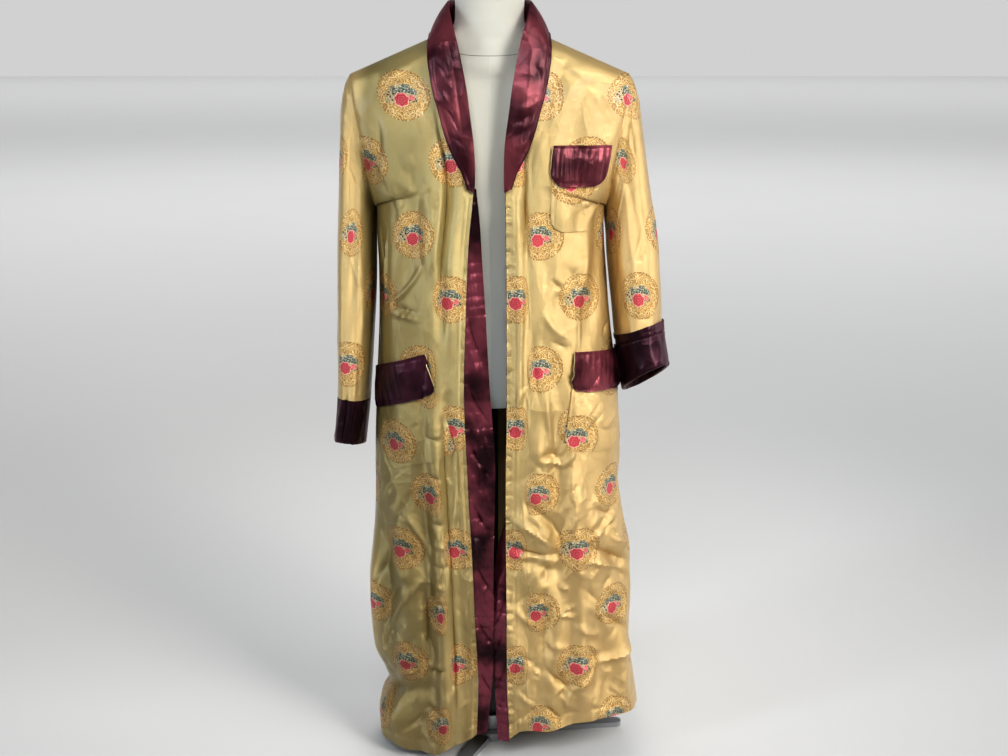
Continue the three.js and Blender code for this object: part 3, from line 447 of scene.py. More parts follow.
def coverCloth(name, shade=0.0):  # shade darkens it for a seam
    wires, finish = newMaterial(name, Sheen_Weight=0.3, Sheen_Roughness=0.6)
    spot = roomPlace(wires)
    height = axisOf(wires, spot, 2)
    cloud = noiseAt(wires, spot, 5.0, 3.0)
    knit = noiseAt(wires, spot, 900.0, 1.0)
    colour = wires.mix(cloud.fade(0.3, 0.7), coverTones["warm"], coverTones["pale"])
    colour = wires.mix((1 - height.fade(0.72, 1.15)) * 0.8, colour, coverTones["low"])
    if shade:
        colour = wires.mix(shade, colour, coverTones["seam"])
    normal = bumpOf(wires, knit + cloud * 2, 0.0003, 0.5)
    return finish(Base_Color=colour, Roughness=0.78 + cloud * 0.12, Normal=normal)


def painted(name, colour, worn, roughness, metallic):
    wires, finish = newMaterial(name, Metallic=metallic)
    spot = roomPlace(wires)
    grain = noiseAt(wires, spot, 60.0, 4.0)
    scuff = noiseAt(wires, spot, 14.0, 5.0).fade(0.55, 0.75)
    shade = wires.mix(scuff * 0.5, colour, worn)
    normal = bumpOf(wires, grain, 0.0002, 0.35)
    return finish(Base_Color=shade, Roughness=roughness + grain * 0.12 + scuff * 0.1, Normal=normal)


goldBrocade = brocade("goldBrocade")
brocadeBack = brocade("brocadeBack", dull=1.0)
maroonSatin = satin("maroonSatin", (0.036, 0.007, 0.012), (0.15, 0.034, 0.044), (0.5, 0.26, 0.42))
# painted shade and light: the maroon satin again, with a darker shaded tone and a brighter lit tone, for the
# front bands
bandShadedSatin = satin("bandShadedSatin", (0.012, 0.003, 0.005), (0.17, 0.038, 0.056), (0.45, 0.26, 0.4))
# painted light: a lighter copy of the maroon satin, for the two pocket tops on the lit left front
pocketLitSatin = satin("pocketLitSatin", (0.045, 0.010, 0.015), (0.24, 0.058, 0.074), (0.5, 0.26, 0.42))
# painted shade: a darker, purpler copy of the maroon satin, for the cuffs and the right pocket's top
shadedPlumSatin = satin("shadedPlumSatin", (0.012, 0.003, 0.006), (0.05, 0.013, 0.024), (0.45, 0.3, 0.5), 0.34)
edgeSatin = satin("edgeSatin", (0.012, 0.003, 0.006), (0.03, 0.008, 0.012), (0.3, 0.2, 0.25), 0.42)
beigeThread = satin("beigeThread", (0.46, 0.35, 0.17), (0.6, 0.48, 0.27), (0.8, 0.7, 0.5), 0.55)
formCover = coverCloth("formCover")
formSeam = coverCloth("formSeam", 0.7)
blackPaint = painted("blackPaint", (0.016, 0.016, 0.018), (0.06, 0.06, 0.06), 0.32, 0.2)
greySteel = painted("greySteel", (0.42, 0.43, 0.45), (0.24, 0.24, 0.25), 0.3, 0.85)

floorWires, floorFinish = newMaterial("studioFloor", Roughness=0.75)
floorTone = noiseAt(floorWires, roomPlace(floorWires), 0.8, 2.0)
floorPaint = floorFinish(
    Base_Color=floorWires.mix(floorTone, studio["floorPale"], studio["floorPaler"])
)
print("materials made")

# small helpers


def lerp(low, high, t):
    return low + (high - low) * t


def smoothstep(value, low, high):
    t = np.clip((value - low) / (high - low), 0, 1)
    return t * t * (3 - 2 * t)


def ridge(value, middle, width):  # 1 at the middle, falling away on both sides
    return np.exp(-(((value - middle) / width) ** 2))


def foldProfile(far, crisp):  # rounded, or sharp along its middle
    soft = np.exp(-far * far)
    sharp = np.exp(-1.7 * (np.sqrt(far * far + 0.03) - 0.17))
    return lerp(soft, sharp, crisp)


def readTable(rows, at):  # a smooth curve through a table's rows, read by its first column
    rows = np.asarray(rows, float)
    keys = rows[:, 0]
    last = len(keys) - 1
    at = np.clip(at, keys[0], keys[-1])
    k = np.clip(np.searchsorted(keys, at, side="left") - 1, 0, last - 1)
    low, high = rows[k], rows[k + 1]
    before, after = rows[np.maximum(k - 1, 0)], rows[np.minimum(k + 2, last)]
    span = (high - low)[..., :1]
    t = (at - low[..., 0])[..., None] / span
    slopeIn = (high - before) / (high - before)[..., :1] * span
    slopeOut = (after - low) / (after - low)[..., :1] * span
    value = (
        low * (2 * t**3 - 3 * t**2 + 1)
        + slopeIn * (t**3 - 2 * t**2 + t)
        + high * (3 * t**2 - 2 * t**3)
        + slopeOut * (t**3 - t**2)
    )
    return np.moveaxis(value, -1, 0)


def foldRise(rows, across, z):
    # rows: across and z of both ends, width, rise, and for some how crisp (0 to 1) and how bowed
    rise = np.zeros(np.broadcast(across, z).shape)
    for across1, z1, across2, z2, width, height, *kind in rows:
        crisp, bow = kind or (0, 0)
        runX, runZ = across2 - across1, z2 - z1
        length = math.hypot(runX, runZ)
        along = ((across - across1) * runX + (z - z1) * runZ) / length
        away = ((across - across1) * runZ - (z - z1) * runX) / length
        away = away - bow * np.sin(np.pi * np.clip(along / length, 0, 1))
        lead = min(20, length * 0.2)
        fade = min(120, length * 0.45)
        ends = smoothstep(along, -lead, fade) * smoothstep(length - along, -lead, fade)
        rise += height * ends * foldProfile(away / width, crisp)
    return rise


def scattered(seed, count, across, z, length, width, rise, angles):
    # small creases strewn over a patch of cloth, leaning by one of the angles from upright
    random = np.random.default_rng(seed)
    rows = []
    for _ in range(count):
        middleX, middleZ = random.uniform(*across), random.uniform(*z)
        half = random.uniform(*length) / 2
        lean = math.radians(random.choice(angles) + random.uniform(-12, 12))
        stepX, stepZ = math.sin(lean) * half, math.cos(lean) * half
        height = random.uniform(*rise) * random.choice((-1, 1))
        rows.append((
            middleX - stepX, middleZ - stepZ, middleX + stepX, middleZ + stepZ,
            random.uniform(*width), height, random.uniform(0.3, 1), random.uniform(-4, 4),
        ))
    return rows


def undulation(across, z, seed, waves, shortest, longest, height, upright):
    # swells of hanging satin: crossed waves with flat planes, longer up the cloth than across it
    random = np.random.default_rng(seed)
    rise = np.zeros(np.broadcast(across, z).shape)
    for _ in range(waves):
        length = random.uniform(shortest, longest)
        lean = math.radians(random.uniform(-36, 36))
        bend = random.uniform(0, 2 * np.pi)
        path = across * math.cos(lean) + z * math.sin(lean) / upright
        sway = 0.9 * np.sin(z / (longest * 1.4) + bend)
        wave = np.arcsin(0.97 * np.sin(2 * np.pi * path / length + bend * 3 + sway)) / 1.33
        strength = 0.5 + 0.5 * np.sin(z / (longest * 1.3) + across / longest + bend * 5)
        rise += random.uniform(0.5, 1) * strength * wave
    return rise * height / math.sqrt(waves)


def gridNormals(grid, closed=False):
    if closed:
        across = np.roll(grid, -1, 1) - np.roll(grid, 1, 1)
    else:
        across = np.empty_like(grid)
        across[:, 1:-1] = grid[:, 2:] - grid[:, :-2]
        across[:, 0] = grid[:, 1] - grid[:, 0]
        across[:, -1] = grid[:, -1] - grid[:, -2]
    up = np.empty_like(grid)
    up[1:-1] = grid[2:] - grid[:-2]
    up[0] = grid[1] - grid[0]
    up[-1] = grid[-1] - grid[-2]
    out = np.cross(across, up)
    return out / np.maximum(np.linalg.norm(out, axis=2, keepdims=True), 1e-9)


def meshObject(name, points, quads, materials, uv=None, slots=None, caps=(), sharpAngle=48):
    mesh = bpy.data.meshes.new(name)
    mesh.from_pydata((points * 0.001).tolist(), [], quads.tolist() + list(caps))
    if uv is not None:
        corners = np.concatenate([quads.ravel(), *caps])
        layer = mesh.uv_layers.new(name="cloth")
        layer.data.foreach_set("uv", (uv[corners] * 0.001).ravel())
    if slots is not None:
        mesh.polygons.foreach_set("material_index", slots)
    for material in materials:
        mesh.materials.append(material)
    mesh.polygons.foreach_set("use_smooth", np.ones(len(mesh.polygons), bool))
    mesh.set_sharp_from_angle(angle=math.radians(sharpAngle))
    mesh.update()
    piece = bpy.data.objects.new(name, mesh)
    bpy.context.collection.objects.link(piece)
    return piece


def cells(rows, columns):  # the row and column of each cell of a grid
    i, j = np.meshgrid(np.arange(rows), np.arange(columns), indexing="ij")
    return i.ravel(), j.ravel()


def ringQuads(count, sides, closed=False):  # faces between rings of points
    i, j = cells(count if closed else count - 1, sides)
    after, across = (i + 1) % count, (j + 1) % sides
    return np.stack([i * sides + j, i * sides + across, after * sides + across, after * sides + j], axis=1)


def clothWall(name, grid, thickness, uv, materials, closed=False, normals=None):
    # a thin wall outside a grid; materials are those of its outer face, inner face and edges
    rows, columns = grid.shape[:2]
    normals = gridNormals(grid, closed) if normals is None else normals
    thick = np.broadcast_to(thickness, (rows, columns))[..., None]
    points = np.concatenate([grid.reshape(-1, 3), (grid + normals * thick).reshape(-1, 3)])
    spans = columns if closed else columns - 1
    i, j = cells(rows - 1, spans)

    def at(layer, row, column):
        return (layer * rows + row) * columns + column % columns

    def quads(a, b, c, d):
        return np.stack(np.broadcast_arrays(a, b, c, d), axis=1)

    outer = quads(at(1, i, j), at(1, i, j + 1), at(1, i + 1, j + 1), at(1, i + 1, j))
    inner = quads(at(0, i, j), at(0, i + 1, j), at(0, i + 1, j + 1), at(0, i, j + 1))
    k, r = np.arange(spans), np.arange(rows - 1)
    rims = [
        quads(at(0, 0, k), at(0, 0, k + 1), at(1, 0, k + 1), at(1, 0, k)),
        quads(at(1, rows - 1, k), at(1, rows - 1, k + 1), at(0, rows - 1, k + 1), at(0, rows - 1, k)),
    ]
    if not closed:
        end = columns - 1
        rims.append(quads(at(0, r, 0), at(1, r, 0), at(1, r + 1, 0), at(0, r + 1, 0)))
        rims.append(quads(at(1, r, end), at(0, r, end), at(0, r + 1, end), at(1, r + 1, end)))
    rim = np.concatenate(rims)
    faces = np.concatenate([outer, inner, rim])
    slots = np.repeat([0, 1, 2], [len(outer), len(inner), len(rim)])
    flatUv = np.concatenate([uv.reshape(-1, 2)] * 2)
    return meshObject(name, points, faces, materials, flatUv, slots)


tubeSides = 8


def tube(name, path, radius, material, closed=False):  # a cord or piping along a path
    if closed:
        way = np.roll(path, -1, 0) - np.roll(path, 1, 0)
    else:
        way = np.gradient(path, axis=0)
    way /= np.linalg.norm(way, axis=1, keepdims=True)
    side = np.cross(way, np.array([0.31, -0.94, 0.12]))  # any way that no path here follows
    side /= np.linalg.norm(side, axis=1, keepdims=True)
    other = np.cross(way, side)
    turns = np.arange(tubeSides) * 2 * np.pi / tubeSides
    ring = side[:, None] * np.cos(turns)[:, None] + other[:, None] * np.sin(turns)[:, None]
    points = (path[:, None] + radius * ring).reshape(-1, 3)
    last = (len(path) - 1) * tubeSides
    ends = [list(range(tubeSides))[::-1], list(range(last, last + tubeSides))]
    uv = points[:, [0, 2]]
    quads = ringQuads(len(path), tubeSides, closed)
    return meshObject(name, points, quads, [material], uv, caps=() if closed else ends, sharpAngle=60)


def place(piece, slot, *nodes):
    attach(piece, "root")
    if nodes:
        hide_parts(*nodes)
    return piece


# the body of the robe

robe = {
    "clothWall": 1.6, "trimWall": 1.4, "seamGap": 0.3, "layGap": 1.2, "topGap": 0.25,
    "neckX": 68, "neckZ": 1380, "shoulderX": 244, "shoulderZ": 1305,
    "underarmX": 203, "underarmZ": 1070, "armholeDepth": 58, "armholeRound": 0.7, "backNeckY": 68,
    "neckDip": 4,  # how much lower the back neck is in its middle
    "backHemZ": 46, "roundness": 0.76, "shoulderDrop": 150, "backDrop": 120,
    "hemTurn": 24,  # depth of the stitched hem
}
neckX, neckZ = robe["neckX"], robe["neckZ"]
shoulderX, shoulderZ = robe["shoulderX"], robe["shoulderZ"]
underarmX, underarmZ = robe["underarmX"], robe["underarmZ"]
signOf = {"right": -1, "left": 1}

frontEdge = {  # height, x and y of each front edge
    "right": [
        (40, -29, -120), (180, -25, -121), (310, -30, -121), (430, -34, -121), (550, -40, -121),
        (740, -47, -120), (830, -45, -119), (1010, -37.5, -118), (1112, -28, -117), (1175, -28, -112),
        (1226, -34, -104), (1287, -43, -89), (1344, -58, -71), (neckZ, -neckX, -60),
    ],
    "left": [
        (40, 36, -120), (180, 31, -121), (310, 30, -121), (550, 28, -121), (740, 30, -120),
        (1010, 29, -118), (1112, 28, -117), (1175, 28, -112), (1226, 34, -104), (1287, 43, -89),
        (1344, 57, -71), (neckZ, neckX, -60),
    ],
}
sideSeam = {  # height, and how far the seam stands out
    "right": [
        (20, 222), (55, 227), (90, 220), (128, 200), (170, 211), (215, 229), (345, 236),
        (460, 225), (620, 217), (775, 209), (900, 204), (underarmZ, underarmX),
    ],
    "left": [
        (60, 292), (95, 290), (190, 274), (387, 269), (465, 257), (545, 242), (620, 243),
        (775, 229), (900, 216), (1000, 205), (underarmZ, underarmX),
    ],
}
hem = {  # share of the width from the front edge, and height
    "right": [(0, 63), (0.08, 49), (0.2, 33), (0.32, 21), (0.5, 18), (0.66, 25), (1, 30)],
    "left": [(0, 56), (0.08, 71), (0.24, 70), (0.36, 81), (0.6, 87), (1, 76)],
}
backDepth = [(20, 128), (300, 124), (700, 117), (1000, 113), (1150, 116), (1260, 110), (neckZ, 96)]

mainFolds = {  # the large folds, which are rounded and straight; columns as in foldRise
    "right": [
        (22, 1190, 30, 790, 11, 6), (46, 1235, 44, 800, 10, -7), (34, 800, 22, 40, 16, -7),
        (52, 780, 66, 20, 13, 12), (84, 620, 92, 90, 14, -7), (96, 1170, 118, 870, 20, -6),
        (130, 600, 128, 230, 18, 8), (165, 560, 172, 120, 16, -7), (150, 75, 215, 95, 26, 11),
        (60, 165, 215, 128, 16, -9), (205, 480, 208, 240, 15, 6), (190, 1010, 175, 860, 18, -5),
    ],
    "left": [
        (20, 1130, 22, 640, 11, 5), (38, 1245, 36, 900, 10, -6), (56, 830, 60, 470, 18, 6),
        (92, 760, 98, 330, 15, -7), (128, 640, 146, 80, 16, 11), (14, 440, 112, 395, 12, -6),
        (18, 520, 82, 425, 11, 5), (176, 440, 262, 352, 14, -8), (40, 330, 58, 80, 14, -7),
        (84, 300, 90, 90, 15, 8), (186, 300, 198, 90, 16, -7), (226, 320, 238, 80, 17, 9),
        (176, 1010, 150, 860, 18, -5),
    ],
    "back": [
        (-112, 1230, -76, 960, 20, -6), (108, 1225, 70, 980, 18, -6), (-34, 1120, -42, 60, 24, 9),
        (4, 900, 12, 60, 19, -9), (52, 1010, 64, 60, 20, 10), (-96, 820, -112, 50, 20, -9),
        (-158, 760, -168, 60, 21, 8), (118, 740, 130, 60, 20, -10), (178, 690, 200, 80, 22, 9),
        (-218, 520, -222, 90, 18, -6), (234, 560, 252, 90, 18, -6),
    ],
}
creases = {  # the finer, crisper creases between the folds
    "right": [
        (52, 1262, 50, 900, 5, -4.5, 0.9, 3), (58, 1250, 60, 960, 5, 2.2, 0.7, 3),
        (30, 1352, 128, 1298, 8, 2.6, 0.5, 5), (52, 1338, 150, 1270, 9, -2.4, 0.4, 6),
        (88, 1322, 168, 1240, 7, 1.8, 0.5, -4), (150, 1250, 176, 1120, 9, -2.6, 0.3, 8),
        (182, 1190, 120, 1010, 8, 2, 0.4, 12), (100, 1090, 60, 930, 9, -2.2, 0.4, -9),
        (142, 908, 80, 980, 6, 4, 0.9, -4), (138, 892, 86, 882, 6, 4, 0.9, 2),
        (132, 903, 90, 896, 6, -3.6, 0.8, 0), (160, 1040, 158, 900, 3, 2.6, 1, 0),
        (176, 1030, 176, 890, 8, -5, 0.4, 0), (66, 860, 84, 700, 6, -2.6, 0.7, 4),
        (42, 740, 44, 90, 4, -4.6, 1, 2), (90, 360, 92, 240, 7, -5, 0.6, 0),
        (12, 760, 16, 420, 4, 2.4, 0.8, 2), (18, 560, 40, 470, 5, 2.2, 0.8, 3),
        (70, 672, 48, 664, 4, -3, 1, 1), (70, 596, 48, 588, 4, -3.4, 1, 1),
        (70, 560, 46, 566, 4, 2.6, 1, 1), (68, 505, 44, 497, 4, -3.4, 1, 1),
        (72, 462, 46, 454, 4, 2.6, 1, 1), (72, 420, 48, 414, 4, -3.2, 1, 1),
        (74, 380, 50, 372, 4, 2.6, 1, 1), (74, 345, 52, 338, 4, -3, 1, 1),
        (78, 290, 54, 282, 4, 2.4, 1, 1),
        (126, 525, 78, 437, 4.5, 4, 1, 4), (104, 560, 150, 500, 8, -3, 0.5, 6),
        (112, 600, 186, 520, 9, 2.6, 0.5, -8), (150, 470, 206, 360, 8, -3, 0.5, 7),
        (91, 392, 188, 245, 7, 5.5, 0.8, -6), (110, 392, 196, 300, 10, -3.6, 0.5, -6),
        (60, 204, 92, 196, 4, -5.2, 1, 2), (64, 214, 96, 210, 5, 3.4, 0.8, 2),
        (150, 180, 108, 196, 5, 3.2, 0.9, 2), (108, 226, 196, 176, 8, 3.2, 0.6, -7),
        (104, 104, 60, 82, 6, 5, 0.9, 3), (100, 119, 62, 99, 7, -4, 0.8, 2),
        (96, 120, 150, 60, 7, -3.4, 0.6, 5), (160, 140, 226, 122, 6, -3.2, 0.7, 3),
        (30, 190, 58, 120, 5, 2.6, 0.7, -3), (180, 620, 214, 560, 7, -2.4, 0.5, 3),
    ],
    "left": [
        (33, 1246, 36, 985, 4.5, -4.4, 1, 2), (40, 1238, 44, 1010, 5, 2.4, 0.8, 2),
        (28, 1350, 112, 1302, 8, 2.2, 0.5, 4), (50, 1338, 160, 1262, 9, -2.2, 0.4, 6),
        (96, 1300, 176, 1220, 7, 2, 0.4, -5), (178, 1200, 190, 1090, 8, -2.4, 0.4, 4),
        (28, 1000, 24, 640, 6, 3, 0.8, 2), (80, 955, 100, 940, 5, -3, 0.8, 1),
        (92, 938, 100, 900, 12, -3.4, 0, 0), (82, 845, 108, 832, 5, -3, 0.8, 0),
        (130, 970, 130, 830, 5, 3, 0.8, 1), (184, 850, 205, 870, 5, -3.5, 1, 0),
        (64, 900, 110, 850, 7, 2.4, 0.6, 6), (150, 1030, 118, 900, 9, 2.4, 0.3, -6),
        (44, 880, 60, 720, 6, -2.6, 0.6, 3), (70, 760, 86, 640, 6, 2.6, 0.6, 3),
        (66, 622, 105, 612, 6, 5.4, 0.8, -4), (104, 612, 124, 642, 6, 5.4, 0.8, 3),
        (62, 634, 98, 628, 7, -4.6, 0.8, -4), (120, 598, 128, 530, 5, 4.4, 0.9, 2),
        (128, 532, 122, 488, 5, 4.4, 0.9, -2), (12, 512, 92, 450, 8, 6, 0.7, -4),
        (38, 542, 104, 470, 11, -6, 0.5, -4), (2, 457, 100, 436, 7, -6.5, 0.8, 4),
        (4, 441, 62, 436, 6, 4.4, 0.8, 3), (72, 424, 76, 380, 10, -5, 0.3, 0),
        (112, 388, 136, 428, 5, 5, 1, 0), (136, 427, 250, 380, 6, 5.4, 0.9, -4),
        (150, 448, 262, 392, 9, -7.5, 0.7, -4), (156, 462, 212, 500, 6, 5, 0.9, 3),
        (166, 478, 220, 488, 8, -3.6, 0.7, 2), (206, 460, 262, 430, 6, 4.4, 0.9, 2),
        (170, 522, 214, 502, 6, -4.2, 0.9, 2), (98, 372, 118, 368, 4, 3.4, 1, 0),
        (94, 318, 132, 312, 4, 3.8, 1, 1), (104, 322, 130, 336, 4, 3.2, 1, 0),
        (134, 294, 182, 262, 7, 5.4, 0.8, 3), (188, 302, 242, 258, 8, -5.5, 0.7, -4),
        (154, 252, 182, 228, 6, 4.4, 0.8, 2), (112, 116, 126, 160, 8, 6, 0.8, 0),
        (126, 160, 172, 206, 8, 6.4, 0.7, 6), (172, 205, 266, 232, 8, 6.4, 0.7, 6),
        (140, 200, 176, 212, 5, 3.4, 0.9, 2), (78, 202, 120, 158, 7, -7, 0.8, 2),
        (50, 202, 62, 190, 4, 3.4, 1, 0), (72, 126, 100, 90, 8, -5, 0.5, 0),
        (70, 380, 76, 190, 12, -4.6, 0, 0), (72, 264, 112, 246, 6, 3.4, 0.9, 2),
        (16, 330, 62, 290, 6, 3, 0.8, 6), (10, 250, 56, 214, 6, -3, 0.8, 5),
        (14, 160, 60, 120, 6, 3, 0.8, 4),
    ],
    "back": [
        (-150, 1290, -40, 1250, 9, 2, 0.4, 6), (150, 1290, 46, 1246, 9, 2, 0.4, -6),
        (-190, 1180, -120, 1010, 10, -2.6, 0.4, 9), (186, 1180, 122, 1020, 10, -2.6, 0.4, -9),
        (-16, 1300, -22, 1120, 10, -1.6, 0.3, 3), (-60, 900, -52, 120, 7, -3.4, 0.7, 5),
        (28, 840, 34, 90, 6, 3.2, 0.8, -4), (82, 900, 90, 100, 7, -3.2, 0.7, 5),
        (-134, 700, -140, 90, 7, 3, 0.7, 3), (150, 640, 162, 90, 7, 3, 0.7, -4),
        (-196, 640, -190, 120, 8, -2.8, 0.6, 4), (212, 560, 226, 110, 8, -2.8, 0.6, 4),
        (-80, 420, -20, 330, 9, -2.4, 0.5, 5), (40, 500, 110, 400, 9, 2.4, 0.5, 6),
        (-150, 340, -90, 240, 9, 2.4, 0.5, -6), (130, 300, 190, 220, 8, -2.4, 0.6, 4),
    ],
}
pinches = {  # seed, z, reach, gap and depth of the small pinches at the stitched edge
    "right": (51, (60, 1000), 9, (14, 36), (0.6, 1.8)),
    "left": (52, (60, 1090), 12, (12, 30), (1.0, 3.0)),
}
crumples = {  # seed, count, across, z, length, width, rise, angles
    "right": [
        (3, 26, (70, 215), (60, 560), (40, 110), (6, 11), (0.8, 2.0), (-38, 22, 40)),
        (4, 22, (0, 44), (60, 760), (20, 46), (3, 5), (0.4, 1.2), (-60, -42, 40)),
        (5, 24, (60, 190), (860, 1290), (40, 100), (6, 12), (0.4, 1.2), (-30, 24, 50)),
    ],
    "left": [
        (6, 44, (0, 250), (80, 500), (30, 76), (4.5, 8), (0.9, 2.2), (-42, 38, 50)),
        (7, 22, (30, 230), (470, 800), (40, 96), (5, 9), (0.5, 1.5), (-36, 18, 46)),
        (8, 22, (50, 190), (860, 1290), (40, 100), (6, 12), (0.4, 1.2), (-30, 24, 50)),
    ],
    "back": [
        (9, 46, (-230, 250), (70, 640), (50, 130), (7, 12), (0.6, 1.8), (-34, 8, 30)),
        (10, 30, (-180, 180), (640, 1280), (50, 120), (8, 13), (0.4, 1.3), (-40, 36)),
    ],
}
fineFolds = {
    name: creases[name] + [row for patch in crumples[name] for row in scattered(*patch)]
    for name in creases
}


def pinched(seed, z, reach, gap, depth):
    random = np.random.default_rng(seed)
    rows, at = [], z[0]
    while at < z[1]:
        lean = random.uniform(-6, 6)
        rows.append((-3, at, reach, at + lean, random.uniform(2.4, 4.4), -random.uniform(*depth), 1, 0))
        at += random.uniform(*gap)
    return rows


for side in pinches:
    fineFolds[side] = fineFolds[side] + pinched(*pinches[side])
swells = {  # seed, waves, shortest and longest wave, height, how upright
    "right": (31, 9, 40, 120, 4.1, 2.2),
    "left": (32, 10, 38, 110, 3.6, 1.6),
    "back": (33, 9, 56, 150, 3.8, 2.2),
}
fineGain = 1.65  # deepens all the finer creases


calmNear = {  # folds and fine creases fade in over these distances
    "seam": (2, 34), "top": (40, 160), "fineSeam": (1, 16), "fineTop": (3, 36), "backFineTop": (24, 90),
    "underCollar": {"z": (1080, 1120), "across": (20, 70), "calmer": 0.6},
}
skirt = {"livelier": 0.9, "below": (360, 660)}  # it crumples more than the body, below these heights


def lively(z):
    return 1 + skirt["livelier"] * (1 - smoothstep(z, *skirt["below"]))


def alongRow(curveX, curveY, share):  # places at shares of each row's length
    steps = np.hypot(np.diff(curveX, axis=1), np.diff(curveY, axis=1))
    reached = np.concatenate([np.zeros((len(steps), 1)), np.cumsum(steps, axis=1)], axis=1)
    length = reached[:, -1]

    def at(portion):
        goal = np.clip(portion, 0, 1) * length
        k = np.minimum((reached[:, 1:] < goal[:, None]).sum(axis=1), steps.shape[1] - 1)
        row = np.arange(len(k))
        t = (goal - reached[row, k]) / np.maximum(steps[row, k], 1e-9)
        return (
            lerp(curveX[row, k], curveX[row, k + 1], t),
            lerp(curveY[row, k], curveY[row, k + 1], t),
        )

    return at, length


def rowNormal(at, share):  # the level way out of a row
    beforeX, beforeY = at(np.maximum(share - 0.02, 0))
    afterX, afterY = at(np.minimum(share + 0.02, 1))
    outX, outY = afterY - beforeY, beforeX - afterX
    size = np.maximum(np.hypot(outX, outY), 1e-9)
    return outX / size, outY / size


def armhole(z):
    share = np.clip((z - underarmZ) / (shoulderZ - underarmZ), 0, 1)
    depth = robe["armholeDepth"] * (2 * np.sqrt(share * (1 - share))) ** robe["armholeRound"]
    return lerp(underarmX, shoulderX, share), depth


def sideAt(side, z):
    seamOut = readTable(sideSeam[side], z)[1]
    holeOut, depth = armhole(z)
    return np.where(z <= underarmZ, seamOut, holeOut), np.where(z <= underarmZ, 0, depth)


turns = np.linspace(0, np.pi / 2, 97)
sinTurns = np.sin(turns) ** robe["roundness"]
cosTurns = np.abs(np.cos(turns)) ** robe["roundness"]


def frontRow(side, height):
    hemRows = hem[side]
    edgeZ = lerp(hemRows[0][1], neckZ, height)
    seamZ = lerp(hemRows[-1][1], shoulderZ, height)
    edge = readTable(frontEdge[side], edgeZ)
    tuck = np.clip((edgeZ - (neckZ - robe["shoulderDrop"])) / robe["shoulderDrop"], 0, 1) ** 3.4
    edgeY = edge[2] * np.sqrt(1 - tuck * tuck)
    seamOut, seamDepth = sideAt(side, seamZ)
    curveX = lerp(edge[1][:, None], signOf[side] * seamOut[:, None], sinTurns)
    curveY = lerp(-seamDepth[:, None], edgeY[:, None], cosTurns)
    return alongRow(curveX, curveY, height)


def frontPoints(side, share, height, fine=True):  # the inner face, and the distance from the edge
    shape = np.broadcast(share, height).shape
    share = np.broadcast_to(share, shape).ravel().astype(float)
    height = np.broadcast_to(height, shape).ravel().astype(float)
    at, length = frontRow(side, height)
    x, y = at(share)
    z = lerp(readTable(hem[side], share)[1], lerp(neckZ, shoulderZ, share), height)
    across = share * length
    toSeam = length - across
    calm = smoothstep(toSeam, *calmNear["seam"]) * smoothstep(neckZ + 20 - z, *calmNear["top"])
    rise = foldRise(mainFolds[side], across, z) * calm
    if fine:
        toTop = lerp(neckZ, shoulderZ, share) - z
        calmFine = smoothstep(toSeam, *calmNear["fineSeam"]) * smoothstep(toTop, *calmNear["fineTop"])
        swell = undulation(across, z, *swells[side]) * lively(z)
        small = (foldRise(fineFolds[side], across, z) * fineGain + swell) * calmFine
        hidden = calmNear["underCollar"]
        underCollar = smoothstep(z, *hidden["z"]) * (1 - smoothstep(across, *hidden["across"]))
        rise = rise + small * (1 - hidden["calmer"] * underCollar) + edgeDetail(side, share, across, z)
    outX, outY = rowNormal(at, share)
    x = x + outX * rise * signOf[side]
    y = np.minimum(y + outY * rise * signOf[side], 0) - robe["seamGap"] / 2
    return np.stack([x, y, z], axis=-1).reshape(*shape, 3), across.reshape(shape)


edging = {  # the turned and stitched strip at the front edges
    "strip": {"right": 7, "left": 16},
    "pucker": {"right": 0.5, "left": 0.7},
    "groove": 0.9,
    "topZ": 1100,
}
hemLook = {  # rise of the turned cloth, then pitch, sway and wander of its ripple
    "front": (0.6, 5.1, 1.3, 23), "back": (0.5, 5.3, 1.2, 27),
    "ripple": 0.4, "groove": 0.9,
}


def hemRise(above, along, part):
    base, pitch, sway, wander = hemLook[part]
    ripple = np.sin(along / pitch + sway * np.sin(along / wander))
    turned = 1 - smoothstep(above, robe["hemTurn"] - 4, robe["hemTurn"] + 4)
    stitched = ridge(above, robe["hemTurn"], 2.6)
    return turned * (base + hemLook["ripple"] * ripple) - hemLook["groove"] * stitched


def edgeDetail(side, share, across, z):
    strip = edging["strip"][side]
    pucker = np.sin(z / 2.1 + across / 3) * np.sin(z / 37)
    inStrip = smoothstep(across, 0, 4) * (1 - smoothstep(across, strip - 2, strip + 5))
    rise = edging["pucker"][side] * pucker * inStrip
    rise -= edging["groove"] * ridge(across, strip, 1.9)
    rise += edging["groove"] * ridge(across, strip + 4, 2.6)
    above = z - readTable(hem[side], share)[1]
    return rise * (z < edging["topZ"]) + hemRise(above, across, "front")


def heightAt(side, share, z):
    hemZ = readTable(hem[side], share)[1]
    return (z - hemZ) / (lerp(neckZ, shoulderZ, share) - hemZ)


def rowHeights(side, skirtRows, yokeRows):  # closer together towards the shoulder
    hemZ = hem[side][-1][1]
    split = (underarmZ - hemZ) / (shoulderZ - hemZ)
    low = split * np.linspace(0, 1, skirtRows + 1)
    high = 1 - (1 - split) * np.linspace(1, 0, yokeRows + 1)[1:] ** 1.6
    return np.concatenate([low, high])


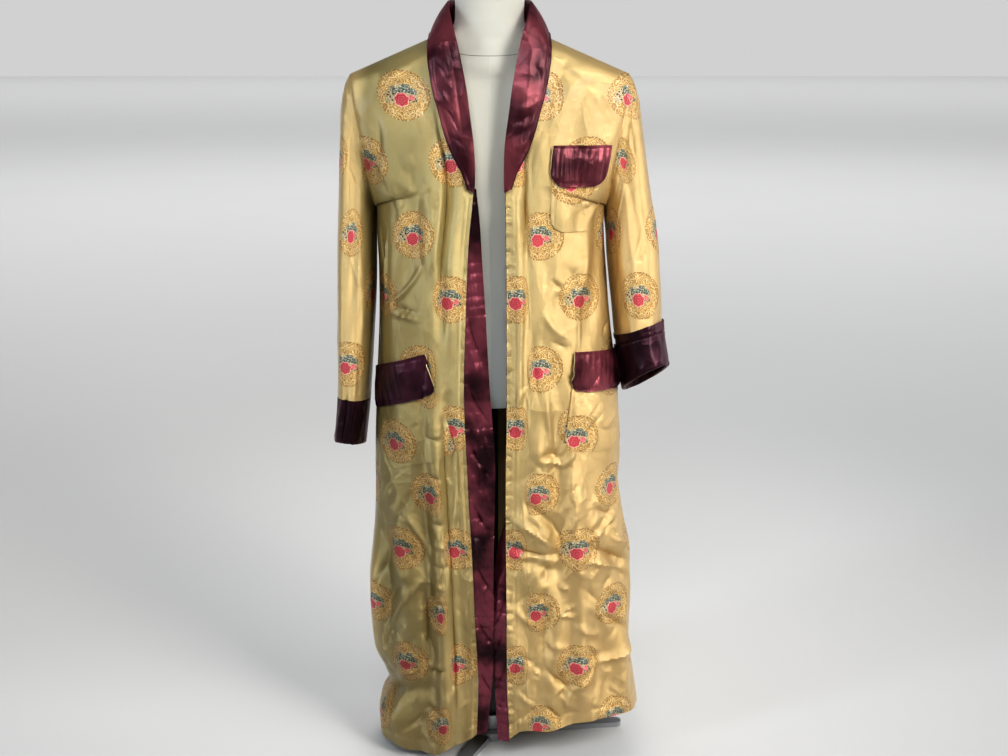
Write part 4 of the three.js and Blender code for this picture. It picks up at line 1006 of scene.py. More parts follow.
def seamNormals(normals, heights, hemZ, column, sideSign, frontSign):
    # at the shoulder and side seams the wall stands straight out; at the armhole it leans
    seamZ = lerp(hemZ, shoulderZ, heights)
    share = (seamZ - underarmZ) / (shoulderZ - underarmZ)
    side = normals[:, column].copy()
    side[:, 1] = 0
    hole = (share >= 0) & (share < 1)
    lean = np.cos(np.clip(share, 0, 1) * np.pi / 2) ** 2
    restY = frontSign * np.abs(normals[:, column, 1]) * np.clip(share, 0, 1) ** 0.3
    restZ = normals[:, column, 2]
    size = np.sqrt(1 - lean**2) / np.maximum(np.hypot(restY, restZ), 1e-9)
    side[hole] = np.stack([sideSign * lean, restY * size, restZ * size], axis=1)[hole]
    normals[:, column] = side
    normals[-1, :, 1] = 0
    normals[-1, column] = (0, 0, 1)
    return normals / np.maximum(np.linalg.norm(normals, axis=2, keepdims=True), 1e-9)


patternPlace = {  # where the first column of roundels falls, by distance from the front edge
    "right": 115, "left": 59, "back": 0,
    "tucked": -38,  # cloth hidden in the crease near the left front's edge
    "drift": [(20, 4), (210, -2), (430, 10), (677, 20), (1022, 5), (1180, 6), (1290, 20), (1400, 20)],
    "towardsCollar": 22,
    "overCrest": [(20, 52), (210, 60), (430, 54), (541, 36), (800, 20), (1020, 8), (1200, 0), (1400, 0)],
}


def frontCloth(side, across, z):  # place on the woven cloth
    if side == "left":
        onCloth = across + patternPlace["tucked"] * (1 - smoothstep(across, 26, 48))
        onCloth = onCloth + patternPlace["towardsCollar"] * smoothstep(z, 1200, 1290)
        return np.stack([onCloth - patternPlace["left"], z], axis=-1)
    drift = readTable(patternPlace["drift"], z)[1]
    crest = readTable(patternPlace["overCrest"], z)[1] * smoothstep(across, 42, 64)
    return np.stack([-(across + drift + crest - patternPlace["right"]), z], axis=-1)


goldSides = [goldBrocade, brocadeBack, goldBrocade]
satinSides = [maroonSatin, maroonSatin, edgeSatin]
cuffSides = [shadedPlumSatin, shadedPlumSatin, edgeSatin]
bandSides = [bandShadedSatin, bandShadedSatin, edgeSatin]

panelGrid = {"columns": 132, "skirtRows": 250, "yokeRows": 66, "backColumns": 76}


def frontPanel(side):
    heights = rowHeights(side, panelGrid["skirtRows"], panelGrid["yokeRows"])
    shares = np.linspace(0, 1, panelGrid["columns"] + 1)
    grid, across = frontPoints(side, shares[None, :], heights[:, None])
    cloth = frontCloth(side, across, grid[..., 2])
    column = -1
    if side == "right":
        grid, cloth, column = grid[:, ::-1], cloth[:, ::-1], 0
    normals = seamNormals(gridNormals(grid), heights, hem[side][-1][1], column, signOf[side], -1)
    piece = clothWall(f"robe_front_{side}", grid, robe["clothWall"], cloth, goldSides, normals=normals)
    return place(piece, "brocade", f"front_{side}")


fronts = {side: frontPanel(side) for side in ("right", "left")}
print("fronts made")


def backHalf(side, part, height):
    shape = np.broadcast(part, height).shape
    part = np.broadcast_to(part, shape).ravel().astype(float)
    height = np.broadcast_to(height, shape).ravel().astype(float)
    hemSide = hem[side][-1][1]
    middleZ = lerp(robe["backHemZ"], neckZ, height)
    seamZ = lerp(hemSide, shoulderZ, height)
    seamOut, seamDepth = sideAt(side, seamZ)
    full = readTable(backDepth, middleZ)[1]
    falling = np.clip((neckZ - middleZ) / robe["backDrop"], 0, 1)
    depth = full * np.sqrt(np.maximum(0, 1 - (1 - falling) ** 2))
    curveX = seamOut[:, None] * sinTurns
    hang = lerp(seamDepth[:, None], depth[:, None], cosTurns)
    aroundNeck = robe["backNeckY"] * np.sqrt(np.maximum(0, 1 - (curveX / neckX) ** 2))
    curveY = (hang**4 + aroundNeck**4) ** 0.25
    at, length = alongRow(curveX, curveY, height)
    x, y = at(part)
    hemZ = lerp(robe["backHemZ"], hemSide, smoothstep(part, 0, 1))
    shoulder = neckZ - np.maximum(0, x - neckX) / (shoulderX - neckX) * (neckZ - shoulderZ)
    topZ = shoulder - robe["neckDip"] * np.maximum(0, 1 - (x / neckX) ** 2)
    lowTop = lerp(neckZ, shoulderZ, part)
    z = lerp(hemZ, lerp(lowTop, topZ, smoothstep(height, 0.7, 1)), height)
    across = part * length
    signed = across * signOf[side]
    toSeam = length - across
    calm = smoothstep(toSeam, *calmNear["seam"]) * smoothstep(neckZ - z, *calmNear["top"])
    rise = foldRise(mainFolds["back"], signed, z) * calm
    toTop = lowTop - z
    calmFine = smoothstep(toSeam, *calmNear["fineSeam"]) * smoothstep(toTop, *calmNear["backFineTop"])
    swell = undulation(signed, z, *swells["back"]) * lively(z)
    small = foldRise(fineFolds["back"], signed, z) * fineGain + swell
    rise += small * calmFine
    rise += hemRise(z - hemZ, signed, "back")
    inX, inY = rowNormal(at, part)
    points = np.stack([
        signOf[side] * (x - inX * rise),
        np.maximum(y - inY * rise, 0) + robe["seamGap"] / 2,
        z,
    ], axis=-1)
    return points.reshape(*shape, 3), signed.reshape(shape)


def backPanel():
    half = panelGrid["backColumns"]
    shares = (np.arange(half + 1) / half) ** 1.06
    gridPieces, acrossPieces = {}, {}
    for side in ("left", "right"):
        heights = rowHeights(side, panelGrid["skirtRows"], panelGrid["yokeRows"])
        gridPieces[side], acrossPieces[side] = backHalf(side, shares[None, :], heights[:, None])
    grid = np.concatenate([gridPieces["left"][:, ::-1], gridPieces["right"][:, 1:]], axis=1)
    across = np.concatenate([acrossPieces["left"][:, ::-1], acrossPieces["right"][:, 1:]], axis=1)
    cloth = np.stack([-across + patternPlace["back"], grid[..., 2]], axis=-1)
    normals = gridNormals(grid)
    for side, column in (("left", 0), ("right", -1)):
        heights = rowHeights(side, panelGrid["skirtRows"], panelGrid["yokeRows"])
        normals = seamNormals(normals, heights, hem[side][-1][1], column, signOf[side], 1)
    piece = clothWall("robe_back", grid, robe["clothWall"], cloth, goldSides, normals=normals)
    return place(piece, "brocade", "back")


backPiece = backPanel()
print("back made")

# sleeves and cuffs

sleeveRings = {  # ring, outer x and z, inner x and z, half depth, middle y, lift of the front
    "right": [
        (0, 244, 1305, 203, 1070, 58, 0, 0), (1, 255, 1284, 207.4, 1062, 59, 0, 0),
        (2, 263, 1248, 208.2, 1046, 61, 0, 0), (3, 267, 1180, 209, 1016, 65, -2, 0),
        (4, 271, 1090, 210, 972, 69, -5, 0), (5, 277, 980, 212.5, 912, 73, -8, 0),
        (6, 281, 850, 219, 828, 75, -10, 4), (7, 284, 720, 229, 714, 73, -12, 12),
        (8, 294, 632, 240, 626, 72, -12, 18),
    ],
    "left": [
        (0, 244, 1305, 203, 1070, 58, 0, 0), (1, 255, 1286, 207.4, 1062, 59, 0, 0),
        (2, 264, 1250, 209.4, 1046, 61, 0, 0), (3, 274, 1190, 212.5, 1018, 64, -2, 0),
        (4, 287, 1105, 215, 978, 67, -6, 0), (5, 302, 1020, 220, 934, 70, -11, 2),
        (6, 310, 935, 226, 884, 73, -16, 6), (7, 313, 862, 232, 834, 76, -22, 14),
        (8, 326, 782, 248, 742, 80, -36, 34),
    ],
}
sleeveFolds = {  # angle, first and last ring, width in degrees, rise, crisp
    "right": [
        (52, 0.6, 8.4, 15, 5, 0), (88, 1.2, 6.4, 14, -5, 0), (128, 2.5, 8.4, 14, 4, 0),
        (230, 1.4, 7, 18, -5, 0), (292, 2, 8.4, 18, 5, 0),
    ],
    "left": [
        (44, 1, 6.8, 15, 5, 0), (80, 0.8, 5.6, 15, -5, 0), (118, 3, 7.6, 15, 4, 0),
        (236, 1.4, 6.8, 18, -5, 0), (300, 2.4, 7.6, 18, 5, 0),
    ],
}
sleeveCreases = {
    "right": [
        (70, 0.4, 5.2, 6, -2.6, 0.8), (106, 2.2, 7.6, 6, 2.4, 0.8), (30, 1.4, 6.6, 7, -2.4, 0.6),
        (146, 2.0, 6.8, 7, -2.4, 0.6), (78, 6.2, 8.6, 5, -3.6, 1), (98, 6.4, 8.6, 7, 2.6, 0.6),
        (116, 6.6, 9.6, 5, 4.6, 1),
        (206, 1.6, 7.2, 8, 2.2, 0.5), (258, 1.8, 7.4, 8, -2.6, 0.6), (320, 1.6, 7.8, 8, -2.2, 0.6),
    ],
    "left": [
        (62, 0.5, 6.4, 6, -3.0, 0.9), (98, 1.4, 6.8, 6, 2.6, 0.8), (26, 1.6, 6.4, 7, -2.4, 0.6),
        (134, 1.8, 6.4, 7, -2.6, 0.6), (50, 5.2, 7.4, 4.5, -4.4, 1), (110, 5.0, 7.0, 6, -2.4, 0.7),
        (210, 1.6, 6.6, 8, 2.2, 0.5), (262, 1.8, 6.8, 8, -2.6, 0.6), (326, 1.6, 6.8, 8, -2.2, 0.6),
    ],
}
sleeveCrumples = {  # small creases over a sleeve: as scattered, across in degrees and z in rings x 100
    "right": scattered(14, 46, (0, 360), (60, 700), (40, 120), (5, 9), (0.4, 1.3), (-52, -30, 34)),
    "left": scattered(15, 54, (0, 360), (60, 700), (40, 120), (5, 9), (0.5, 1.5), (-52, -30, 34)),
}
sleeveLook = {"crumpleGain": 1.6, "pucker": 0.9, "puckerReach": 0.09, "calmRings": (0.15, 0.9)}
sleeveSwells = {"right": (34, 8, 30, 90, 2.6, 3.0), "left": (35, 8, 30, 90, 2.8, 2.4)}  # as in swells
cuffRing = 7  # where the sleeve ends and its cuff starts


def sleevePoints(side, ring, angle):
    ring, angle = np.broadcast_arrays(np.asarray(ring, float), np.asarray(angle, float))
    row = readTable(sleeveRings[side], ring)
    _, outerX, outerZ, innerX, innerZ, depth, middleY, lift = row
    cos, sin = np.cos(angle), np.sin(angle)
    power = lerp(robe["armholeRound"], 0.9, np.clip(ring / 3, 0, 1))
    front = np.sign(sin) * np.abs(sin) ** power
    degrees = np.degrees(angle)
    swell = np.zeros(ring.shape)
    for at, ring1, ring2, width, rise, crisp in sleeveFolds[side] + sleeveCreases[side]:
        far = (((degrees - at + 540) % 360) - 180) / width
        ends = smoothstep(ring, ring1, ring1 + 1.6) * smoothstep(ring2 - ring, 0, 1)
        swell += rise * ends * foldProfile(far, crisp)
    calm = smoothstep(ring, *sleeveLook["calmRings"])
    crumple = foldRise(sleeveCrumples[side], degrees % 360, ring * 100)
    swell += crumple * calm * sleeveLook["crumpleGain"]
    swell += undulation(degrees % 360, ring * 100, *sleeveSwells[side]) * calm
    nearEnd = ridge(ring, cuffRing, sleeveLook["puckerReach"])  # where the cuff is sewn on
    swell += nearEnd * sleeveLook["pucker"] * np.sin(degrees / 4.6 + 2 * np.sin(degrees / 31))
    x = (outerX + innerX) / 2 + (outerX - innerX) / 2 * cos
    z = (outerZ + innerZ) / 2 + (outerZ - innerZ) / 2 * cos
    toSleeve = 1 - smoothstep(ring, 0, 0.9)
    share = (cos + 1) / 2
    room = robe["seamGap"] + robe["clothWall"] * np.cos(share * np.pi / 2) ** 2 + 0.1
    return np.stack([
        signOf[side] * (x + swell * np.maximum(cos, -0.2) * 0.6 + room * toSleeve),
        middleY - (depth + swell * np.abs(sin)) * front,
        z + lift * front,
    ], axis=-1)


sleeveGrid = {"columns": 112, "rows": 150, "cuffRows": 40}
sleevePattern = {"right": 6, "left": 76.5}  # shift of the roundels round each sleeve


def ringAngles(side, columns):
    return signOf[side] * -np.arange(columns) * 2 * np.pi / columns + 4 * np.pi


def ringCloth(side, grid):  # millimetres round the sleeve from the middle of its front
    step = np.linalg.norm(np.roll(grid, -1, 1) - grid, axis=2)
    reached = np.cumsum(step, axis=1) - step
    size = step.sum(axis=1, keepdims=True)
    quarter = grid.shape[1] // 4 if side == "right" else 3 * grid.shape[1] // 4
    across = (reached - reached[:, [quarter]] + size / 2) % size - size / 2
    return np.stack([across + sleevePattern[side], grid[..., 2] + 0 * across], axis=-1)


def sleeve(side):
    rings = np.linspace(cuffRing, 0, sleeveGrid["rows"] + 1)
    grid = sleevePoints(side, rings[:, None], ringAngles(side, sleeveGrid["columns"])[None, :])
    normals = gridNormals(grid, True)
    normals[-1, :, 0] = 0
    normals /= np.linalg.norm(normals, axis=2, keepdims=True)
    cloth = ringCloth(side, grid)
    piece = clothWall(
        f"robe_sleeve_{side}", grid, robe["clothWall"], cloth, goldSides, closed=True, normals=normals
    )
    return place(piece, "brocade", f"sleeve_{side}")


sleeves = {side: sleeve(side) for side in ("right", "left")}

cuffs = {  # rings at which the facing, the outside and the seam line end, and layers off the sleeve
    "right": {"facingRing": 7.55, "topRing": 7.012, "inside": -1.0, "outside": 0.6, "seamRing": None},
    "left": {"facingRing": 7.2, "topRing": 6.93, "inside": -1.6, "outside": 2.3, "seamRing": 7.2},
    "thickness": 1.1,
    "rimRing": 7.985, "endRing": 8.0, "bendRows": 5,
    "clear": 2.2,  # least room over the sleeve that it is turned back on
    "topRipple": 0.35, "rimRipple": 0.9, "seamGroove": 1.2, "seamRipple": 0.6, "fullness": 2.2,
}


def cuff(side):
    # a folded strip: up inside the sleeve, round the rim, and up outside
    setting = cuffs[side]
    rows = sleeveGrid["cuffRows"]
    inner = np.linspace(setting["facingRing"], cuffs["rimRing"], rows // 2)
    outer = np.linspace(cuffs["rimRing"], setting["topRing"], rows)
    bend = np.radians(np.linspace(-90, 90, cuffs["bendRows"] + 2)[1:-1])
    ring = np.concatenate([inner, np.full(len(bend), cuffs["endRing"]), outer])
    middle = (setting["inside"] + setting["outside"]) / 2
    radius = (setting["outside"] - setting["inside"]) / 2
    lift = np.concatenate([
        np.full(len(inner), setting["inside"]),
        middle + radius * np.sin(bend),
        np.full(len(outer), setting["outside"]),
    ])
    below = np.concatenate([np.zeros(len(inner)), radius * np.cos(bend), np.zeros(len(outer))])
    angles = ringAngles(side, sleeveGrid["columns"])
    base = sleevePoints(side, ring[:, None], angles[None, :])
    count = len(ring)
    normals = gridNormals(sleevePoints(side, np.linspace(8, 6.5, count)[:, None], angles[None, :]), True)
    level = np.interp(ring, np.linspace(6.5, 8, count), np.arange(count)[::-1]).round().astype(int)
    outward = normals[level]
    degrees = np.degrees(angles)[None, :]
    layer = np.arange(len(ring))[:, None] >= len(inner)
    ring = ring[:, None]
    ripple = np.sin(degrees / 5.2 + 2.2 * np.sin(degrees / 37))
    swell = cuffs["topRipple"] * ripple * ridge(ring, setting["topRing"], 0.07)
    if setting["seamRing"]:
        seamRipple = cuffs["seamRipple"] * np.sin(degrees / 3.1)
        waves = np.sin(np.radians(degrees * 3 + 40))
        swell = swell - cuffs["seamGroove"] * ridge(ring, setting["seamRing"], 0.025)
        swell = swell + seamRipple * ridge(ring, setting["seamRing"], 0.09)
        swell = swell + cuffs["fullness"] * smoothstep(ring, 7.9, 7.0) * waves
    swell = swell + cuffs["rimRipple"] * ridge(ring, 7.9, 0.05) * np.sin(degrees / 6.1)
    raised = lift[:, None] + swell * layer
    if setting["topRing"] < cuffRing:
        overSleeve = layer & (ring < cuffRing + 0.06)
        raised = np.where(overSleeve, np.maximum(raised, cuffs["clear"]), raised)
    grid = base + outward * raised[..., None]
    grid[..., 2] -= below[:, None]
    cloth = ringCloth(side, grid)
    piece = clothWall(f"robe_cuff_{side}", grid, cuffs["thickness"], cloth, cuffSides, closed=True)
    return place(piece, "satin", f"cuff_{side}")


cuffPieces = {side: cuff(side) for side in ("right", "left")}
print("sleeves and cuffs made")

# collar

collarStations = [  # seam z, stand, lean, and x, y, z of the outer edge
    (1110, 3, 0, 37, -124, 1116), (1142, 5, 0, 46, -123, 1143), (1185, 7, 4, 68, -118, 1186),
    (1240, 9, 12, 86, -106, 1246), (1290, 13, 28, 98, -93, 1292), (1336, 22, 50, 104, -77, 1333),
    (1367, 36, 74, 105, -42, 1362), (neckZ, 46, 88, 101, 12, 1374),
]
collarBack = [(30, 48, 88, 53, 1373), (60, 48, 52, 87, 1368), (90, 48, 0, 101, 1364)]
collarShape = {
    "steps": 230, "stand": 14, "fall": 40,  # steps along it, rows of its stand and of its fall
    "belly": 0.07, "mostBelly": 4.5,  # how much the fall rounds out, as a share of its width
    "waver": 0.5, "piping": 1.25,
}
collarCreases = {  # distance from the roll and along from the lapel's end; columns as in foldRise
    "right": [
        (44, 146, 22, 104, 5, -3.6, 1, 3), (36, 96, 16, 76, 4, -2.8, 1, 2),
        (24, 20, 16, 250, 7, 1.8, 0.3, 4), (48, 176, 30, 140, 6, 1.8, 0.6, 3),
        (34, 40, 20, 200, 9, -1.6, 0.3, 5), (14, 60, 12, 300, 5, -1.8, 0.5, 2),
        (50, 240, 22, 190, 8, -2, 0.5, 4), (40, 320, 18, 262, 9, 2, 0.4, 5),
    ],
    "left": [
        (10, 96, 42, 108, 5, -2.6, 0.9, 2), (8, 118, 44, 132, 5, -2.4, 0.9, 2),
        (12, 138, 46, 154, 5, 2.0, 0.8, 2), (14, 76, 38, 84, 5, 1.8, 0.8, 2),
        (22, 20, 16, 260, 8, 1.8, 0.3, 4), (44, 190, 24, 226, 7, -2.2, 0.6, 4),
        (36, 40, 24, 90, 5, -1.8, 0.7, 3), (48, 260, 26, 300, 8, 2.0, 0.5, 4),
    ],
}


def overFront(side, share, height, lift):  # points at a lift over the front's outer face
    def front(share, height):
        return frontPoints(side, np.clip(share, 0, 1), np.clip(height, 0, 1))[0]

    step = 0.012
    point = frontPoints(side, share, height)[0]
    across = front(share + step, height) - front(share - step, height)
    up = front(share, height + step) - front(share, height - step)
    out = np.cross(across, up) * signOf[side]
    out /= np.linalg.norm(out, axis=-1, keepdims=True)
    return point + out * (robe["clothWall"] + np.asarray(lift))[..., None]


def collarLines(side):  # seam, roll and edge points of one half, from the lapel to the middle back
    sign = signOf[side]
    lines = []
    for seamZ, stand, leanDegrees, edgeX, edgeY, edgeZ in collarStations:
        height = np.minimum(heightAt(side, np.array([0.0]), seamZ), 1)
        lean = math.radians(leanDegrees)
        out = np.array([0, -math.cos(lean), math.sin(lean)])
        seam = frontPoints(side, np.array([0.0]), height, False)[0][0] + out * (
            robe["clothWall"] + robe["seamGap"] + 0.1
        )
        roll = seam + out * stand
        roll[0] -= sign * (1.5 if leanDegrees < 60 else -3)
        lines.append((seam, roll, np.array([sign * edgeX, edgeY, edgeZ])))
    for turn, stand, edgeX, edgeY, edgeZ in collarBack:
        angle = math.radians(turn)
        seam = np.array([
            sign * neckX * math.cos(angle),
            (robe["backNeckY"] + 0.3) * math.sin(angle),
            neckZ - robe["neckDip"] * math.sin(angle) ** 2 + robe["clothWall"] + robe["seamGap"] + 0.5,
        ])
        roll = seam + np.array([0, 1.5 * math.sin(angle), stand])
        lines.append((seam, roll, np.array([sign * edgeX, edgeY, edgeZ])))
    return lines


def throughPoints(points, t):  # a centripetal curve through points, t from 0 to 1
    points = np.asarray(points)
    padded = np.concatenate([[2 * points[0] - points[1]], points, [2 * points[-1] - points[-2]]])
    at = t * (len(points) - 1)
    k = np.minimum(at.astype(int), len(points) - 2)
    w = (at - k)[:, None]
    p0, p1, p2, p3 = (padded[k + n] for n in range(4))
    steps = (p1 - p0, p2 - p1, p3 - p2)
    d0, d1, d2 = (np.linalg.norm(step, axis=1, keepdims=True) ** 0.5 for step in steps)
    slope1 = ((p1 - p0) / d0 - (p2 - p0) / (d0 + d1) + (p2 - p1) / d1) * d1
    slope2 = ((p2 - p1) / d1 - (p3 - p1) / (d1 + d2) + (p3 - p2) / d2) * d1
    return (
        p1 + slope1 * w + (3 * (p2 - p1) - 2 * slope1 - slope2) * w**2
        + (2 * (p1 - p2) + slope1 + slope2) * w**3
    )


def collarPiece():
    stations = collarLines("right") + collarLines("left")[-2::-1]
    t = np.linspace(0, 1, collarShape["steps"] + 1)
    seam, roll, edge = (throughPoints([s[n] for s in stations], t) for n in range(3))
    along = np.concatenate([[0], np.cumsum(np.linalg.norm(np.diff(roll, axis=0), axis=1))])
    fromEnd = np.minimum(along, along[-1] - along)
    isRight = t < 0.5
    rows, cloth = [], []
    standRows, fallRows = collarShape["stand"], collarShape["fall"]
    wide = np.linalg.norm(edge - roll, axis=1)
    tall = np.linalg.norm(roll - seam, axis=1)
    outward = np.stack([roll[:, 0] * 0.3 + edge[:, 0] * 0.2, (roll[:, 1] + edge[:, 1]) / 2, 0 * t], axis=1)
    outward /= np.linalg.norm(outward, axis=1, keepdims=True)
    for j in range(standRows):
        part = j / standRows
        rows.append(lerp(seam, roll, part))
        cloth.append(np.stack([(part - 1) * tall, along], axis=1))
    for j in range(fallRows + 1):
        fall = j / fallRows
        rounding = np.minimum(wide * collarShape["belly"], collarShape["mostBelly"])
        belly = 4 * fall * (1 - fall) * rounding
        down = fall * wide
        crease = np.where(isRight, *(foldRise(collarCreases[s], down, fromEnd) for s in ("right", "left")))
        calm = smoothstep(fromEnd, 6, 40) * smoothstep(wide - down, -1, 7)
        waver = collarShape["waver"] * np.sin(along / 8.5 + 2 * np.sin(along / 61))
        waver = waver * smoothstep(down - wide, -12, 0)
        rows.append(lerp(roll, edge, fall) + outward * (belly + crease * calm + waver)[:, None])
        cloth.append(np.stack([down, along], axis=1))
    grid, clothGrid = np.stack(rows), np.stack(cloth)
    thick = np.full(grid.shape[:2], robe["clothWall"])
    toEdge = (fallRows - (np.arange(len(rows)) - standRows))[:, None] * wide / fallRows
    thick += 0.9 * ridge(toEdge, 2.2, 2.0) - 0.5 * ridge(toEdge, 7, 1.6)  # the turned edge and its stitching
    piece = clothWall("robe_collar", grid, thick, clothGrid, satinSides)
    place(piece, "satin", "collar")
    rim = grid[-1] + gridNormals(grid)[-1] * robe["clothWall"] * 0.5
    piping = tube("collar_piping", rim, collarShape["piping"], edgeSatin)
    place(piping, "satin")
    return piece, piping


collar, collarPiping = collarPiece()
print("collar made")

# front bands

bands = {  # height, width and swing in degrees: 0 reaches to the other front, 180 is folded inside
    "right": [
        (62, 20, 14), (180, 28, 12), (310, 35, 9), (430, 40, 14), (550, 49, 12), (645, 52, 10),
        (740, 48, 14), (830, 41, 12), (1010, 23, 10), (1098, 8, 16), (1116, 5, 20),
    ],
    "left": [
        (50, 24, 24), (180, 27, 30), (320, 30, 36), (430, 30, 58), (540, 30, 120), (660, 32, 160),
        (800, 32, 166), (1010, 30, 166), (1098, 12, 168), (1116, 8, 168),
    ],
    "rows": 330, "columns": 16,
    "sag": 1.6, "pucker": 0.9, "setBack": 0.6, "edge": 0.5,
}
bandFolds = {  # columns as in foldRise, across from the hinge
    "right": [
        (4, 1000, 20, 860, 5, 1.6, 0.7, 2), (2, 900, 34, 800, 5, -2.2, 0.9, 3),
        (6, 840, 40, 760, 5, 2.2, 0.8, 3), (2, 780, 44, 690, 5, -2.6, 1, 3),
        (4, 720, 46, 640, 5, 2.4, 0.9, 4), (2, 670, 48, 580, 5, -2.6, 1, 4),
        (4, 600, 46, 520, 6, 2.4, 0.9, 4), (2, 550, 44, 470, 5, -2.6, 1, 3),
        (2, 480, 40, 400, 5, 2.2, 0.8, 3), (2, 430, 38, 350, 5, -2.4, 1, 3),
        (2, 370, 36, 300, 5, 2, 0.8, 2), (2, 310, 34, 240, 5, -2.2, 0.9, 2),
        (2, 250, 30, 190, 5, 1.8, 0.8, 2), (2, 200, 28, 140, 5, -2, 0.9, 2),
        (24, 760, 30, 380, 6, 1.6, 0.4, 2),
    ],
    "left": [
        (2, 500, 28, 440, 5, -1.8, 0.9, 2), (2, 420, 28, 360, 5, 2, 0.8, 2),
        (2, 360, 28, 290, 5, -2, 1, 2), (2, 290, 28, 220, 5, 1.8, 0.8, 2),
        (2, 220, 26, 150, 5, -2, 0.9, 2), (2, 150, 26, 90, 5, 1.8, 0.8, 2),
    ],
    "gain": 2.6,
}


def band(side):
    sign = signOf[side]
    low, high = bands[side][0][0], bands[side][-1][0]
    z = np.linspace(low, high, bands["rows"] + 1)
    reach = np.linspace(0, 1, bands["columns"] + 1)
    _, width, swingDegrees = readTable(bands[side], z)
    start = np.zeros(len(z))
    hinge = frontPoints(side, start, heightAt(side, start, z))[0]
    swing = np.radians(swingDegrees)[:, None]
    way = reach[None, :] * width[:, None]
    facing = np.maximum(np.cos(swing), 0)
    sag = bands["sag"] * np.sin(reach * np.pi)[None, :] * np.sin(z / 23)[:, None] * facing
    crumple = bandFolds["gain"] * foldRise(bandFolds[side], way, z[:, None]) * smoothstep(way, 0, 6)
    puckers = bands["pucker"] * np.sin(z / 3.3 + 2 * np.sin(z / 29))[:, None] * ridge(way, 0, 7)
    out = (crumple + puckers) * np.maximum(facing, 0.3)
    grid = np.stack([
        hinge[:, None, 0] - sign * (robe["seamGap"] + 0.1 + way * np.cos(swing)),
        hinge[:, None, 1] + bands["setBack"] + way * np.sin(swing) - sag - out,
        np.broadcast_to(z[:, None], way.shape),
    ], axis=-1)
    cloth = np.stack([way, np.broadcast_to(z[:, None], way.shape)], axis=-1)
    if sign > 0:
        grid, cloth = grid[:, ::-1], cloth[:, ::-1]
    toFree = (1 - reach if sign < 0 else reach)[None, :] * width[:, None]
    thick = robe["trimWall"] + bands["edge"] * ridge(toFree, 1.5, 2.0)  # thicker at its free edge
    piece = clothWall(f"robe_band_{side}", grid, thick, cloth, bandSides)
    return place(piece, "satin", f"band_{side}")


bandPieces = {side: band(side) for side in ("right", "left")}
print("bands made")

# pockets

pockets = [
    {"side": "left", "name": "chest", "across": 76, "topZ": 1188, "width": 98, "flapHeight": 69,
     "height": 147, "tilt": 0, "corner": 26, "gathers": 11, "gatherRise": 3.2, "seed": 21, "cut": (19, 31)},
    {"side": "left", "name": "left", "across": 121, "topZ": 827, "width": 146, "flapHeight": 73,
     "height": 186, "tilt": -5, "corner": 16, "gathers": 13, "gatherRise": 4.2, "seed": 22, "cut": (7, 21)},
    {"side": "right", "name": "right", "across": 72, "topZ": 824, "width": 150, "flapHeight": 76,
     "height": 192, "tilt": -18, "corner": 16, "gathers": 12, "gatherRise": 3.4, "seed": 23,
     "cut": (-15, 31)},
]
pocketRows = {"patch": (46, 56), "top": (44, 132)}  # rows and columns of each grid
pocketFit = {
    "patchTop": 0.8,  # share of the top's height at which the patch starts
    "fullness": 1.3,  # cloth in the gathered top, as a multiple of the pocket's width
    "crown": 2.5,  # rise of the pocket's middle
    "edging": 0.9,  # radius of the thread edge
}


def pocketPoints(pocket, along, down, lift):
    shape = along.shape
    side = pocket["side"]
    tilt = math.radians(pocket["tilt"])
    across = (pocket["across"] + along * math.cos(tilt) + down * math.sin(tilt)).ravel()
    z = (pocket["topZ"] + along * math.sin(tilt) - down * math.cos(tilt)).ravel()
    share, height = np.full(z.shape, 0.5), np.full(z.shape, 0.5)
    for _ in range(6):
        height = heightAt(side, share, z)
        share = np.clip(across / frontRow(side, height)[1], 0, 0.985)
    lift = np.broadcast_to(lift, shape).ravel()
    points = overFront(side, share, height, lift)
    return points.reshape(*shape, 3), frontCloth(side, across, z).reshape(*shape, 2)


def roundedDepth(along, width, corner, full):
    fromSide = np.minimum(along, width - along)
    inCorner = np.clip(1 - fromSide / corner, 0, 1)
    return full - corner * (1 - np.sqrt(1 - inCorner**2))


def pocketGrid(pocket, size, top, bottom, inset, lift, wave):
    rows, columns = size
    t, rise = np.meshgrid(np.linspace(0, 1, columns + 1), np.linspace(0, 1, rows + 1))
    wide = pocket["width"] - 2 * inset
    along = inset + t * wide
    low = roundedDepth(along - inset, wide, pocket["corner"], bottom)
    down = lerp(low, top, rise)
    grid, cloth = pocketPoints(pocket, along, down, lift + wave(t, rise, along, down))
    if pocket["side"] == "right":
        grid, cloth, along, down = grid[:, ::-1], cloth[:, ::-1], along[:, ::-1], down[:, ::-1]
    return grid, cloth, along, down


def pocketPatch(pocket):
    random = np.random.default_rng(pocket["seed"])
    lines = [
        (random.uniform(0, pocket["width"]), random.uniform(80, pocket["height"] - 20),
         random.uniform(0, pocket["width"]), random.uniform(80, pocket["height"] - 10),
         random.uniform(4, 8), random.uniform(-1.6, 1.6), 0.7, 3)
        for _ in range(9)
    ]

    def wave(t, rise, along, down):
        crown = pocketFit["crown"] * np.sin(np.pi * t) * np.sin(np.pi * np.minimum(rise * 1.1, 1))
        fromSide = np.minimum(t, 1 - t) * pocket["width"]
        stitched = -0.7 * ridge(fromSide, 6, 1.6)
        return crown + foldRise(lines, along, down) * smoothstep(fromSide, 2, 14) + stitched

    top = pocket["flapHeight"] * pocketFit["patchTop"]
    grid, cloth, along, down = pocketGrid(
        pocket, pocketRows["patch"], top, pocket["height"], 2, robe["layGap"], wave
    )
    name = f"pocket_patch_{pocket['name']}"
    piece = clothWall(name, grid, robe["trimWall"], cloth + pocket["cut"], goldSides)
    return place(piece, "brocade", f"pocket_{pocket['name']}")


